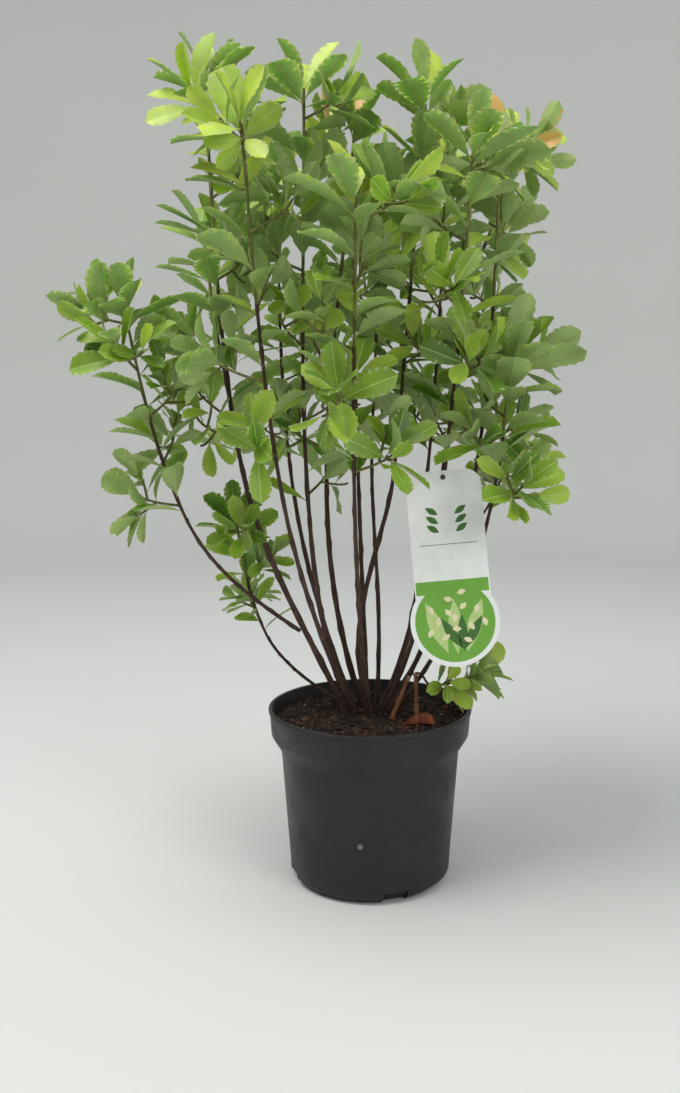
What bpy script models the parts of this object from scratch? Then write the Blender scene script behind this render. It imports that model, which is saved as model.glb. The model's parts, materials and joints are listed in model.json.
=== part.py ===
"""Potted summersweet: a shrub of many thin stems in a black nursery pot.

Metres, +Z up. The origin is the middle of the pot's flat underside, and -Y is the front.
Each stem is bare up to its fork. Above the fork it carries one mass of foliage, in which
twigs and leaves grow from the stem by a seeded rule and are joined into one body.
"""

import math
import random
from typing import NamedTuple

import bmesh
import bpy
from mathutils import Matrix, Quaternion, Vector
from mathutils.bvhtree import BVHTree
from mathutils.geometry import intersect_point_line

# Gap kept between pieces that touch, and the way up
GAP = 0.0003
UP = Vector((0, 0, 1))
SHARP_ANGLE = math.radians(35.0)
WELD = 0.00001

# Pot: a tapered shell under a deep collar
POT_HEIGHT = 0.161
RIM_RADIUS = 0.0998
RIM_DEPTH = 0.003
RIM_WIDTH = 0.0029
RIM_ROUND = 0.0009
COLLAR_DEPTH = 0.025
COLLAR_RADIUS = 0.0968
SHOULDER_DEPTH = 0.039
WALL_TOP_RADIUS = 0.0872
WALL_FOOT_RADIUS = 0.0775
FOOT_RADIUS = 0.0705
FOOT_RISE = 0.0065
WALL = 0.0018
SLOPE_SHARE = 0.6
POT_SIDES = 40

# Drain slots cut through the bottom corner of the pot
SLOTS = 4
SLOT_FIRST = math.radians(-72.0)
SLOT_WIDTH = 0.023
SLOT_HEIGHT = 0.0105
SLOT_INNER_RADIUS = 0.062
SLOT_OUTER_RADIUS = 0.090

# Soil: level at the wall, a flat mound where the stems stand
SOIL_LEVEL = 0.149
MOUND_LEVEL = 0.1545
MOUND_RADIUS = 0.062
MOUND_EDGE = (0.074, 0.1523)
STAND = MOUND_LEVEL + GAP

# Limbs: sides and rings of the tubes, and their radii
STEM_SIDES = 6
STEM_RINGS = 7
BUTT_SWELL = 1.25
FORK_SHARE = 0.55
FORK_EXTRA = 0.0004
SHOOT_SIDES = 4
SHOOT_RINGS = 6
SHOOT_TIP_RADIUS = 0.0013
TWIG_SIDES = 3
TWIG_RINGS = 2
TWIG_RADIUS = 0.0014
TWIG_TIP_RADIUS = 0.0012

# How a limb bends: pull at its foot and fork, how far it has turned into the shoot's way at
# the fork, and how upright its last bud grows
FOOT_PULL = 1.15
FORK_TURN = 2.0
FORK_PULL = 0.95
BUD_UPRIGHT = 0.25

# Seat of a limb on its parent: points tried round its end, and the step towards the parent
SEAT_POINTS = 24
SEAT_STEP = 0.00005

# Stops along a shoot, in steps from its fork and from its bud
FIRST_STOP = 0.6
LAST_STOP = 0.4

# Twigs: shares along the shoot and out from it at the first, the end and the last direction
TWIG_FIRST = (0.41, 0.91)
TWIG_END = (0.61, 0.94)
TWIG_LAST = (0.91, 0.41)
TWIG_SINK = 0.5
TWIG_TRIES = 3
TWIG_TURN = 0.7
TWIG_LENGTHS = (0.75, 1.1)
TWIG_SHORTER_UP = 0.35
TWIG_LEAF_SHARE = 0.8

# Leaves: a six-faced blade with a keel below, widest past its middle
GOLDEN_ANGLE = math.radians(137.5)
LEAF_WIDTH_RATIO = 0.50
LEAF_WIDEST = 0.60
LEAF_KEEL = 0.28
LEAF_SINK = 0.25
LEAF_THICKNESS_RATIO = 0.02
LEAF_FOLD = 0.05
LEAF_DROOP = 0.06
LEAF_FREE_FROM = 0.16
LEAF_SIZES = (0.86, 1.08)
LEAF_PITCH = math.radians(60.0)
LEAF_ROLL = 0.45
LEAF_TILT = 0.16
LEAF_LOW_SHARE = 0.66
LEAF_TRIES = 5
LEAF_TURN = 0.45

# Rosettes: leaves crowded round a bud, the inner ones more upright and smaller
ROSETTE_OUTER = math.radians(64.0)
ROSETTE_INNER = math.radians(20.0)
ROSETTE_DEPTH = 0.016
ROSETTE_TOP = 0.001
ROSETTE_SHRINK = 0.18
TWIG_ROSETTE = 3
BUD_ROSETTE = 6

# Room: how far a piece may stray past its own mass's space, and how clear it stays of others
STRAY = 0.022
CLEARANCE = 0.0005
FLAT_ANGLE = math.radians(0.05)
FIRST_SEED = 11

# Hang label: a neck with rounded shoulders on a round disc, held by a twig through its hole
LABEL_THICKNESS = 0.0006
LABEL_NECK_WIDTH = 0.068
LABEL_SHOULDER_RADIUS = 0.014
LABEL_SHOULDER_STEPS = 4
LABEL_DISC_RADIUS = 0.0405
LABEL_DISC_STEPS = 26
LABEL_TOP_TO_DISC = 0.137
LABEL_HOLE_RADIUS = 0.0024
LABEL_HOLE_SIDES = 16
LABEL_HOLE_DROP = 0.006
LABEL_LEAN = math.radians(5.0)
LABEL_HOLE = Vector((0.0655, -0.084, 0.3905))
LABEL_TWIG_RADIUS = 0.0016
LABEL_TWIG_TIP_RADIUS = 0.0012
LABEL_TWIG_LEAN = Vector((-0.05, -1.0, 0.25)).normalized()
LABEL_TWIG_RISE = 0.004
LABEL_TWIG_PAST_HOLE = Vector((0, -0.006, 0.0008))

# Dead stubs of old stems: foot and cut end
STUB_RADIUS = 0.0020
STUB_END_RADIUS = 0.0016
STUBS = {
    "stub_leaning": (Vector((0.019, -0.024, STAND)), Vector((0.037, -0.028, 0.196))),
    "stub_upright": (Vector((0.045, -0.030, STAND)), Vector((0.0435, -0.029, 0.199))),
}

# Dead leaf on the soil: root, tip and the way its face looks
DEAD_LEAF_ROOT = Vector((0.026, -0.052, STAND))
DEAD_LEAF_TIP = Vector((0.060, -0.042, 0.1640))
DEAD_LEAF_FACE = Vector((-0.5, 0.3, 1.0))

# Finishes: colour, roughness and metallic value
FINISHES = {
    "moulded_black": ((0.012, 0.013, 0.012), 0.42, 0.0),
    "bark_compost": ((0.020, 0.014, 0.010), 0.95, 0.0),
    "young_bark": ((0.055, 0.030, 0.022), 0.70, 0.0),
    "dead_wood": ((0.140, 0.075, 0.040), 0.85, 0.0),
    "leaf_green": ((0.140, 0.290, 0.045), 0.50, 0.0),
    "dead_leaf_brown": ((0.150, 0.060, 0.030), 0.75, 0.0),
    "label_white": ((0.820, 0.830, 0.820), 0.35, 0.0),
}


class Stem(NamedTuple):
    """One stem: where it stands or leaves another, where its foliage begins, its last bud.

    foot is a place on the mound (x, y), or a height on the parent stem. lean is the first
    direction, out per unit of rise. width is the diameter at the foot, reach is how far
    twigs run out from the shoot, leaf is the full leaf length, twigs how many it carries.
    """

    name: str
    foot: tuple
    fork: tuple
    bud: tuple
    lean: tuple
    width: float
    reach: float
    leaf: float
    twigs: int
    parent: str = ""


STEMS = [
    Stem("left_tall", (-0.023, -0.004), (-0.124, -0.026, 0.400), (-0.158, -0.034, 0.762),
         (-0.50, 0.0), 0.0062, 0.050, 0.074, 4),
    Stem("left_back", (0.375,), (-0.134, 0.010, 0.425), (-0.176, 0.062, 0.640),
         (-0.30, 0.50), 0.0036, 0.052, 0.064, 3, "left_tall"),
    Stem("left_long", (0.238,), (-0.172, -0.052, 0.350), (-0.228, -0.062, 0.548),
         (-1.40, -0.30), 0.0038, 0.045, 0.062, 4, "left_tall"),
    Stem("left_low", (-0.026, 0.018), (-0.106, 0.030, 0.225), (-0.132, -0.006, 0.345),
         (-1.60, 0.35), 0.0034, 0.040, 0.050, 2),
    Stem("left_middle", (-0.017, 0.006), (-0.058, -0.032, 0.350), (-0.062, -0.052, 0.752),
         (-0.45, -0.20), 0.0058, 0.052, 0.072, 5),
    Stem("middle", (-0.007, 0.013), (-0.044, 0.022, 0.390), (-0.016, 0.030, 0.740),
         (-0.35, 0.0), 0.0060, 0.050, 0.072, 4),
    Stem("front_left", (-0.015, -0.009), (-0.082, -0.086, 0.390), (-0.112, -0.112, 0.700),
         (-0.40, -0.50), 0.0050, 0.052, 0.070, 4),
    Stem("back_left", (-0.018, 0.028), (-0.088, 0.098, 0.400), (-0.106, 0.138, 0.712),
         (-0.45, 0.45), 0.0052, 0.056, 0.072, 4),
    Stem("back", (-0.003, 0.036), (-0.014, 0.120, 0.410), (-0.022, 0.160, 0.728),
         (-0.05, 0.60), 0.0052, 0.056, 0.072, 4),
    Stem("right_upright", (0.001, -0.001), (0.024, -0.022, 0.400), (0.052, -0.044, 0.748),
         (-0.40, -0.05), 0.0054, 0.046, 0.074, 4),
    Stem("middle_back", (0.006, 0.021), (0.002, 0.078, 0.410), (0.014, 0.092, 0.690),
         (0.10, 0.30), 0.0044, 0.050, 0.070, 3),
    Stem("right_middle", (0.009, 0.008), (0.060, 0.038, 0.400), (0.080, 0.052, 0.722),
         (0.55, 0.10), 0.0050, 0.050, 0.070, 4),
    Stem("right_front", (0.011, -0.007), (0.069, -0.064, 0.405), (0.092, -0.096, 0.686),
         (0.50, -0.30), 0.0046, 0.050, 0.070, 4),
    Stem("right_tall", (0.019, 0.003), (0.106, 0.004, 0.400), (0.130, 0.000, 0.720),
         (0.60, 0.0), 0.0054, 0.042, 0.068, 4),
    Stem("back_right", (0.015, 0.026), (0.084, 0.108, 0.400), (0.108, 0.136, 0.704),
         (0.45, 0.50), 0.0050, 0.054, 0.072, 4),
    Stem("front", (-0.001, -0.016), (-0.014, -0.098, 0.380), (-0.012, -0.146, 0.630),
         (-0.10, -0.60), 0.0046, 0.056, 0.068, 4),
    Stem("right_outer", (0.022, -0.012), (0.108, -0.076, 0.355), (0.128, -0.082, 0.500),
         (0.75, -0.10), 0.0042, 0.042, 0.070, 3),
    Stem("right_low", (0.325,), (0.124, 0.030, 0.362), (0.138, 0.022, 0.400),
         (0.90, 0.60), 0.0026, 0.036, 0.048, 1, "right_tall"),
    Stem("right_foot", (0.192,), (0.062, -0.030, 0.188), (0.108, -0.036, 0.204),
         (1.60, -0.60), 0.0022, 0.024, 0.042, 1, "right_tall"),
]
LABEL_STEM = "right_front"


class Solid(NamedTuple):
    """Corners and faces of one closed shape, before it becomes an object."""

    corners: list
    faces: list

    def tree(self):
        return BVHTree.FromPolygons(self.corners, self.faces)


def finish(obj, name):
    """Give the object its own material in a named finish."""
    colour, roughness, metallic = FINISHES[name]
    material = bpy.data.materials.new(obj.name + "_" + name)
    material.use_nodes = True
    shader = material.node_tree.nodes["Principled BSDF"]
    shader.inputs["Base Color"].default_value = (*colour, 1.0)
    shader.inputs["Roughness"].default_value = roughness
    shader.inputs["Metallic"].default_value = metallic
    obj.data.materials.clear()
    obj.data.materials.append(material)
    return obj


def body(name, bm, smooth=False):
    """Turn a bmesh into a named object whose faces point out."""
    bmesh.ops.recalc_face_normals(bm, faces=bm.faces)
    if bm.calc_volume(signed=True) < 0.0:
        bmesh.ops.reverse_faces(bm, faces=bm.faces)
    mesh = bpy.data.meshes.new(name)
    bm.to_mesh(mesh)
    bm.free()
    if smooth:
        mesh.shade_smooth()
        mesh.set_sharp_from_angle(angle=SHARP_ANGLE)
    obj = bpy.data.objects.new(name, mesh)
    bpy.context.scene.collection.objects.link(obj)
    return obj


def solid_object(name, solid):
    """Object made from a solid."""
    bm = bmesh.new()
    verts = [bm.verts.new(corner) for corner in solid.corners]
    for face in solid.faces:
        bm.faces.new([verts[i] for i in face])
    return body(name, bm)


def cut_from(obj, cutter):
    """Take a cutter out of the object, and keep the cutter as a guide only."""
    cutter.hide_render = True
    cutter.display_type = "WIRE"
    cut = obj.modifiers.new(cutter.name, "BOOLEAN")
    cut.operation = "DIFFERENCE"
    cut.object = cutter


def turned(name, profile):
    """Spin a profile of (radius, height) that starts and ends on the axis about Z."""
    bm = bmesh.new()
    line = [bm.verts.new((radius, 0.0, height)) for radius, height in profile]
    edges = [bm.edges.new(pair) for pair in zip(line, line[1:])]
    bmesh.ops.spin(bm, geom=line + edges, cent=(0, 0, 0), axis=(0, 0, 1),
                   angle=math.tau, steps=POT_SIDES, use_merge=True)
    bmesh.ops.remove_doubles(bm, verts=bm.verts, dist=WELD)
    return body(name, bm, smooth=True)


def pot_profile(inset):
    """Face of the pot from the middle of its foot up to the collar, moved in by inset."""
    slope = inset * SLOPE_SHARE
    return [
        (0.0, inset),
        (FOOT_RADIUS - slope, inset),
        (WALL_FOOT_RADIUS - inset, FOOT_RISE + slope),
        (WALL_TOP_RADIUS - inset, POT_HEIGHT - SHOULDER_DEPTH + slope),
        (COLLAR_RADIUS - inset, POT_HEIGHT - COLLAR_DEPTH + slope),
    ]


def make_pot():
    """Shell of one thickness with a thicker rim, and slots through its bottom corner."""
    rim = [
        (RIM_RADIUS - RIM_ROUND, POT_HEIGHT - RIM_DEPTH - RIM_ROUND),
        (RIM_RADIUS, POT_HEIGHT - RIM_DEPTH),
        (RIM_RADIUS, POT_HEIGHT - RIM_ROUND),
        (RIM_RADIUS - RIM_ROUND, POT_HEIGHT),
        (RIM_RADIUS - RIM_WIDTH, POT_HEIGHT),
        (RIM_RADIUS - RIM_WIDTH - RIM_ROUND, POT_HEIGHT - RIM_DEPTH),
    ]
    pot = turned("pot", pot_profile(0.0) + rim + pot_profile(WALL)[::-1])
    for index in range(SLOTS):
        cut_from(pot, slot_cutter(SLOT_FIRST + index * math.tau / SLOTS))
    return finish(pot, "moulded_black")


def slot_cutter(turn):
    """Block across the corner of floor and wall, at a turn about Z."""
    bm = bmesh.new()
    bmesh.ops.create_cube(bm, size=1.0)
    size = (SLOT_OUTER_RADIUS - SLOT_INNER_RADIUS, SLOT_WIDTH, 2 * SLOT_HEIGHT)
    middle = (SLOT_OUTER_RADIUS + SLOT_INNER_RADIUS) / 2
    bmesh.ops.scale(bm, vec=size, verts=bm.verts)
    bmesh.ops.translate(bm, vec=(middle, 0, 0), verts=bm.verts)
    bmesh.ops.rotate(bm, cent=(0, 0, 0), matrix=Matrix.Rotation(turn, 3, "Z"), verts=bm.verts)
    return body("slot_cutter", bm)


def make_soil():
    """Compost that fills the pot, with a flat mound under the stems."""
    wall = pot_profile(WALL + GAP)
    top = [(wall[-1][0], SOIL_LEVEL), MOUND_EDGE, (MOUND_RADIUS, MOUND_LEVEL), (0.0, MOUND_LEVEL)]
    return finish(turned("soil", wall + top), "bark_compost")


def smooth_line(start, start_pull, end, end_pull, count):
    """Points along a curve that leaves start and reaches end with the given pulls."""
    points = []
    for step in range(count + 1):
        t = step / count
        leave = t**3 - 2 * t**2 + t
        arrive = t**3 - t**2
        share = 3 * t**2 - 2 * t**3
        points.append(start.lerp(end, share) + start_pull * leave + end_pull * arrive)
    return points


def directions(points):
    """Unit direction of travel at each point."""
    last = len(points) - 1
    return [
        (points[min(i + 1, last)] - points[max(i - 1, 0)]).normalized()
        for i in range(len(points))
    ]


def across(direction, hint=Vector((0.31, -0.95, 0.05))):
    """A unit vector square to the direction, as near the hint as it can be."""
    return (hint - direction * hint.dot(direction)).normalized()


def mix(way, out, shares):
    """Vector made of a share along the way and a share out from it."""
    return way * shares[0] + out * shares[1]


def taper(first, last, count):
    """Radii that run evenly from first to last."""
    return [first + (last - first) * i / (count - 1) for i in range(count)]


def tube(points, radii, sides, first=None, last=None):
    """Tapering limb with flat ends along the points; an end may be given its own direction."""
    ways = directions(points)
    ways[0] = first or ways[0]
    ways[-1] = last or ways[-1]
    side = across(ways[0])
    corners = []
    faces = [tuple(range(sides))[::-1]]
    for ring, (point, way, radius) in enumerate(zip(points, ways, radii)):
        side = across(way, side)
        for corner in range(sides):
            turn = Quaternion(way, math.tau * corner / sides)
            corners.append(point + turn @ side * radius)
        for corner in range(sides if ring else 0):
            a = (ring - 1) * sides + corner
            b = (ring - 1) * sides + (corner + 1) % sides
            faces.append((a, b, b + sides, a + sides))
    top = (len(points) - 1) * sides
    faces.append(tuple(range(top, top + sides)))
    return Solid(corners, faces)


def blade(root, along, face, length, start=0.0, swell=0.0):
    """Leaf of six faces: root, two raised edges, the keel under its rib, and tip."""
    side = along.cross(face)
    half = length * LEAF_WIDTH_RATIO / 2 + swell
    widest = root + along * length * LEAF_WIDEST + face * (length * LEAF_FOLD + swell)
    keel = root + along * length * LEAF_KEEL - face * (length * LEAF_THICKNESS_RATIO + swell)
    tip = root + along * (length + swell) - face * length * LEAF_DROOP
    corners = [root + along * length * start, widest + side * half, widest - side * half, keel, tip]
    faces = [(0, 1, 2), (4, 2, 1), (0, 3, 1), (0, 2, 3), (4, 1, 3), (4, 3, 2)]
    return Solid(corners, faces)


class Limb(NamedTuple):
    """A stem's bare part, and the shoot that goes on from it through the foliage."""

    spec: Stem
    bare: list
    bare_radii: list
    shoot: list
    shoot_radii: list
    fork_way: Vector

    def bare_solid(self):
        """The bare stem: cut level at the soil, or square where it leaves another stem."""
        first = Vector((*self.spec.lean, 1.0)).normalized() if self.spec.parent else UP
        return tube(self.bare, self.bare_radii, STEM_SIDES, first, self.fork_way)

    def shoot_solid(self, swell=0.0):
        """The shoot, which starts a gap past the end of the bare stem."""
        radii = [radius + swell for radius in self.shoot_radii]
        return tube(self.shoot, radii, SHOOT_SIDES, self.fork_way)

    def at(self, share):
        """Place, direction and radius at a share of the shoot's length."""
        steps = share * (len(self.shoot) - 1)
        low = min(int(steps), len(self.shoot) - 2)
        part = steps - low
        ways = directions(self.shoot)
        place = self.shoot[low].lerp(self.shoot[low + 1], part)
        way = ways[low].lerp(ways[low + 1], part).normalized()
        radius = self.shoot_radii[low] * (1 - part) + self.shoot_radii[low + 1] * part
        return place, way, radius


def limb_of(spec, limbs):
    """Work out a stem's two curves from its named places."""
    fork = Vector(spec.fork)
    bud = Vector(spec.bud)
    lean = Vector((*spec.lean, 1.0)).normalized()
    foot_radius = spec.width / 2
    fork_radius = foot_radius * FORK_SHARE + FORK_EXTRA
    if spec.parent:
        foot = beside(limbs[spec.parent], spec.foot[0], lean, foot_radius)
    else:
        foot = Vector((*spec.foot, STAND))
    shoot_way = (bud - fork).normalized()
    way = ((fork - foot).normalized() + shoot_way * FORK_TURN).normalized()
    span = (fork - foot).length
    height = (bud - fork).length
    last = shoot_way.lerp(UP, BUD_UPRIGHT)
    half_gap = way * GAP / 2
    bare = smooth_line(foot, lean * span * FOOT_PULL, fork - half_gap, way * span * FORK_PULL,
                       STEM_RINGS)
    shoot = smooth_line(fork + half_gap, way * height, bud, last * height, SHOOT_RINGS)
    bare_radii = taper(foot_radius, fork_radius, len(bare))
    if not spec.parent:
        bare_radii[0] *= BUTT_SWELL
    shoot_radii = taper(fork_radius, SHOOT_TIP_RADIUS, len(shoot))
    return Limb(spec, bare, bare_radii, shoot, shoot_radii, way)


def beside(parent, height, lean, radius):
    """Place beside a parent stem where a limb that leaves along lean is seated a gap from it."""
    steps = zip(parent.bare, parent.bare[1:])
    low, high = next((low, high) for low, high in steps if low.z <= height <= high.z)
    point = low.lerp(high, (height - low.z) / (high.z - low.z))
    out = across((high - low).normalized(), lean)
    surface = parent.bare_solid().tree()
    side = across(lean) * radius
    turns = [math.tau * step / SEAT_POINTS for step in range(SEAT_POINTS)]
    edge = [Quaternion(lean, turn) @ side for turn in turns]
    distance = parent.spec.width / 2 + radius + 2 * GAP
    while min(surface.find_nearest(point + out * distance + way)[3] for way in edge) > GAP:
        distance -= SEAT_STEP
    return point + out * distance


def distance_to(points, place):
    """Distance from a place to the line through the points."""
    best = math.inf
    for low, high in zip(points, points[1:]):
        near, share = intersect_point_line(place, low, high)
        near = low if share < 0 else high if share > 1 else near
        best = min(best, (place - near).length)
    return best


class Crown:
    """Everything grown so far, so that each new piece keeps clear of it."""

    def __init__(self, limbs, fixed):
        self.limbs = limbs
        self.taken = [(None, solid.tree()) for solid in fixed]
        for name, limb in limbs.items():
            self.add(name, limb.shoot_solid(CLEARANCE))

    def add(self, owner, solid):
        self.taken.append((owner, solid.tree()))

    def keeps_space(self, owner, place):
        """True where a place lies in the owner's space, or strays from it only a little."""
        own = distance_to(self.limbs[owner].shoot, place) - STRAY
        others = (limb for name, limb in self.limbs.items() if name != owner)
        return all(distance_to(limb.shoot, place) >= own for limb in others)

    def is_clear(self, owner, tree):
        """True if the shape meets nothing but pieces of its owner."""
        return not any(tree.overlap(taken) for name, taken in self.taken if name != owner)


class Mass:
    """One mass of foliage: its shoot, twigs and leaves, grown by the seeded rule."""

    def __init__(self, crown, limb, seed):
        self.crown = crown
        self.limb = limb
        self.rng = random.Random(seed)
        self.solids = [limb.shoot_solid()]
        self.sisters = [self.solids[0].tree()]

    def fits(self, swollen, free, tip):
        """True if a piece keeps to the mass's space and touches no limb, mass or sister."""
        name = self.limb.spec.name
        if not self.crown.keeps_space(name, tip):
            return False
        free_tree = free.tree()
        if any(free_tree.overlap(sister) for sister in self.sisters):
            return False
        return self.crown.is_clear(name, swollen.tree())

    def keep(self, solid, free):
        self.solids.append(solid)
        self.sisters.append(free.tree())

    def leaf(self, place, way, turn, pitch, length, radius):
        """Set one leaf on a limb: turned about the limb and pitched off it, or skip it."""
        rng = self.rng
        for attempt in range(LEAF_TRIES):
            out = Quaternion(way, turn + attempt * LEAF_TURN) @ across(way)
            tilt = pitch + rng.uniform(-LEAF_TILT, LEAF_TILT)
            along = mix(way, out, (math.cos(tilt), math.sin(tilt)))
            roll = Quaternion(along, rng.uniform(-LEAF_ROLL, LEAF_ROLL))
            face = roll @ across(along, way)
            size = length * rng.uniform(*LEAF_SIZES)
            root = place - along * radius * LEAF_SINK
            solid = blade(root, along, face, size)
            swollen = blade(root, along, face, size, swell=CLEARANCE)
            free = blade(root, along, face, size, start=LEAF_FREE_FROM)
            if self.fits(swollen, free, solid.corners[-1]):
                self.keep(solid, free)
                return

    def rosette(self, place, way, count, length, radius):
        """Leaves crowded round a bud."""
        turn = self.rng.uniform(0, math.tau)
        for index in range(count):
            share = index / (count - 1)
            pitch = ROSETTE_OUTER + (ROSETTE_INNER - ROSETTE_OUTER) * share
            back = place - way * (ROSETTE_DEPTH * (1 - share) + ROSETTE_TOP)
            self.leaf(back, way, turn, pitch, length * (1.0 - ROSETTE_SHRINK * share), radius)
            turn += GOLDEN_ANGLE

    def twig(self, place, way, turn, reach, length, shoot_radius):
        """Side twig that leaves the shoot, curves up and ends in a rosette."""
        out = Quaternion(way, turn) @ across(way)
        end = place + mix(way, out, TWIG_END) * reach
        first = mix(way, out, TWIG_FIRST)
        root = place - first * shoot_radius * TWIG_SINK
        points = smooth_line(root, first * reach, end, mix(way, out, TWIG_LAST) * reach, TWIG_RINGS)
        radii = taper(TWIG_RADIUS, TWIG_TIP_RADIUS, len(points))
        swollen = tube(points, [radius + CLEARANCE for radius in radii], TWIG_SIDES)
        free_points = [points[0].lerp(points[1], 2 * LEAF_FREE_FROM)] + points[1:]
        free = tube(free_points, radii, TWIG_SIDES)
        if not self.fits(swollen, free, end):
            return False
        self.keep(tube(points, radii, TWIG_SIDES), free)
        tip_way = directions(points)[-1]
        self.rosette(end, tip_way, TWIG_ROSETTE, length, TWIG_TIP_RADIUS)
        turn = self.rng.uniform(0, math.tau)
        self.leaf(points[1], tip_way, turn, LEAF_PITCH, length * TWIG_LEAF_SHARE, TWIG_RADIUS)
        return True

    def grow(self):
        """Twigs and leaves take turns up the shoot, and a rosette ends it."""
        spec = self.limb.spec
        rng = self.rng
        turn = rng.uniform(0, math.tau)
        stops = 2 * spec.twigs + 1
        for stop in range(stops):
            share = (stop + FIRST_STOP) / (stops + LAST_STOP)
            place, way, radius = self.limb.at(share)
            turn += GOLDEN_ANGLE
            size = spec.leaf * (LEAF_LOW_SHARE + (1 - LEAF_LOW_SHARE) * share)
            if stop % 2:
                self.leaf(place, way, turn, LEAF_PITCH, size, radius)
                continue
            reach = spec.reach * rng.uniform(*TWIG_LENGTHS) * (1 - TWIG_SHORTER_UP * share**2)
            for attempt in range(TWIG_TRIES):
                if self.twig(place, way, turn + attempt * TWIG_TURN, reach, size, radius):
                    break
        bud, way, radius = self.limb.at(1.0)
        self.rosette(bud, way, BUD_ROSETTE, spec.leaf, radius)
        for solid in self.solids:
            self.crown.add(spec.name, solid)


def largest_shell(obj):
    """Keep the one outer shell of a joined mesh: scraps go, and sealed hollows are filled."""
    bm = bmesh.new()
    bm.from_mesh(obj.data)
    bmesh.ops.dissolve_limit(bm, angle_limit=FLAT_ANGLE, verts=bm.verts, edges=bm.edges)
    bmesh.ops.triangulate(bm, faces=bm.faces)
    seen = set()
    shells = []
    for start in bm.faces:
        if start in seen:
            continue
        seen.add(start)
        shell = [start]
        for face in shell:
            for other in (other for edge in face.edges for other in edge.link_faces):
                if other not in seen:
                    seen.add(other)
                    shell.append(other)
        shells.append(shell)
    shells.sort(key=len)
    bmesh.ops.delete(bm, geom=[face for shell in shells[:-1] for face in shell], context="FACES")
    bm.to_mesh(obj.data)
    bm.free()


def join(name, solids):
    """One Boolean union over a collection joins a shoot with its twigs and leaves."""
    trunk = solid_object(name, solids[0])
    group = bpy.data.collections.new(name + "_pieces")
    for index, solid in enumerate(solids[1:]):
        piece = solid_object(f"{name}_piece_{index}", solid)
        bpy.context.scene.collection.objects.unlink(piece)
        group.objects.link(piece)
    bpy.context.scene.collection.children.link(group)
    union = trunk.modifiers.new("join", "BOOLEAN")
    union.operation = "UNION"
    union.operand_type = "COLLECTION"
    union.collection = group
    union.solver = "MANIFOLD"
    evaluated = trunk.evaluated_get(bpy.context.evaluated_depsgraph_get())
    joined = bpy.data.meshes.new_from_object(evaluated)
    trunk.modifiers.clear()
    trunk.data = joined
    for piece in list(group.objects):
        bpy.data.objects.remove(piece)
    bpy.data.collections.remove(group)
    largest_shell(trunk)
    return finish(trunk, "leaf_green")


def label_outline():
    """Outline of the label, with x across and z down from the top edge."""
    half = LABEL_NECK_WIDTH / 2
    corner = LABEL_SHOULDER_RADIUS
    outline = []
    for step in range(LABEL_SHOULDER_STEPS + 1):
        turn = math.radians(90.0) * step / LABEL_SHOULDER_STEPS
        outline.append((half - corner + corner * math.cos(turn), corner * (math.sin(turn) - 1)))
    outline += [(-x, z) for x, z in reversed(outline)]
    meet = math.asin(half / LABEL_DISC_RADIUS)
    for step in range(LABEL_DISC_STEPS + 1):
        turn = meet + (math.tau - 2 * meet) * step / LABEL_DISC_STEPS
        x = -LABEL_DISC_RADIUS * math.sin(turn)
        outline.append((x, LABEL_DISC_RADIUS * math.cos(turn) - LABEL_TOP_TO_DISC))
    return outline


def make_label():
    """Hang label in one thin plate, leaning a little, with a hole for its twig."""
    bm = bmesh.new()
    front = [bm.verts.new((x, -LABEL_THICKNESS / 2, z + LABEL_HOLE_DROP)) for x, z in label_outline()]
    grown = bmesh.ops.extrude_face_region(bm, geom=[bm.faces.new(front)])
    back = [item for item in grown["geom"] if isinstance(item, bmesh.types.BMVert)]
    bmesh.ops.translate(bm, vec=(0, LABEL_THICKNESS, 0), verts=back)
    lean = Matrix.Rotation(-LABEL_LEAN, 3, "Y")
    bmesh.ops.rotate(bm, cent=(0, 0, 0), matrix=lean, verts=bm.verts)
    bmesh.ops.translate(bm, vec=LABEL_HOLE, verts=bm.verts)
    label = body("hang_label", bm)
    bm = bmesh.new()
    bmesh.ops.create_cone(bm, cap_ends=True, segments=LABEL_HOLE_SIDES, radius1=LABEL_HOLE_RADIUS,
                          radius2=LABEL_HOLE_RADIUS, depth=10 * LABEL_THICKNESS)
    quarter = Matrix.Rotation(math.pi / 2, 3, "X")
    bmesh.ops.rotate(bm, cent=(0, 0, 0), matrix=quarter, verts=bm.verts)
    bmesh.ops.translate(bm, vec=LABEL_HOLE, verts=bm.verts)
    cut_from(label, body("label_hole_cutter", bm))
    return finish(label, "label_white")


def label_twig(limb):
    """Short twig that leaves its stem and passes through the label's hole, high in it."""
    over = LABEL_HOLE + UP * (LABEL_HOLE_RADIUS - LABEL_TWIG_RADIUS - GAP)
    foot = beside(limb, over.z - LABEL_TWIG_RISE, LABEL_TWIG_LEAN, LABEL_TWIG_RADIUS)
    end = over + LABEL_TWIG_PAST_HOLE
    points = [foot, foot.lerp(end, 0.5), end]
    radii = taper(LABEL_TWIG_RADIUS, LABEL_TWIG_TIP_RADIUS, len(points))
    return tube(points, radii, STEM_SIDES, LABEL_TWIG_LEAN)


def stub(foot, cut):
    """Short dead stub that stands on the soil."""
    points = [foot, foot.lerp(cut, 0.5), cut]
    return tube(points, taper(STUB_RADIUS, STUB_END_RADIUS, len(points)), STEM_SIDES, UP)


def dead_leaf():
    """Fallen leaf propped on the soil."""
    along = (DEAD_LEAF_TIP - DEAD_LEAF_ROOT).normalized()
    length = (DEAD_LEAF_TIP - DEAD_LEAF_ROOT).length
    return blade(DEAD_LEAF_ROOT, along, across(along, DEAD_LEAF_FACE), length)


def mesh_solid(obj):
    """The object's own mesh as a solid."""
    corners = [vertex.co.copy() for vertex in obj.data.vertices]
    return Solid(corners, [tuple(face.vertices) for face in obj.data.polygons])


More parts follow.
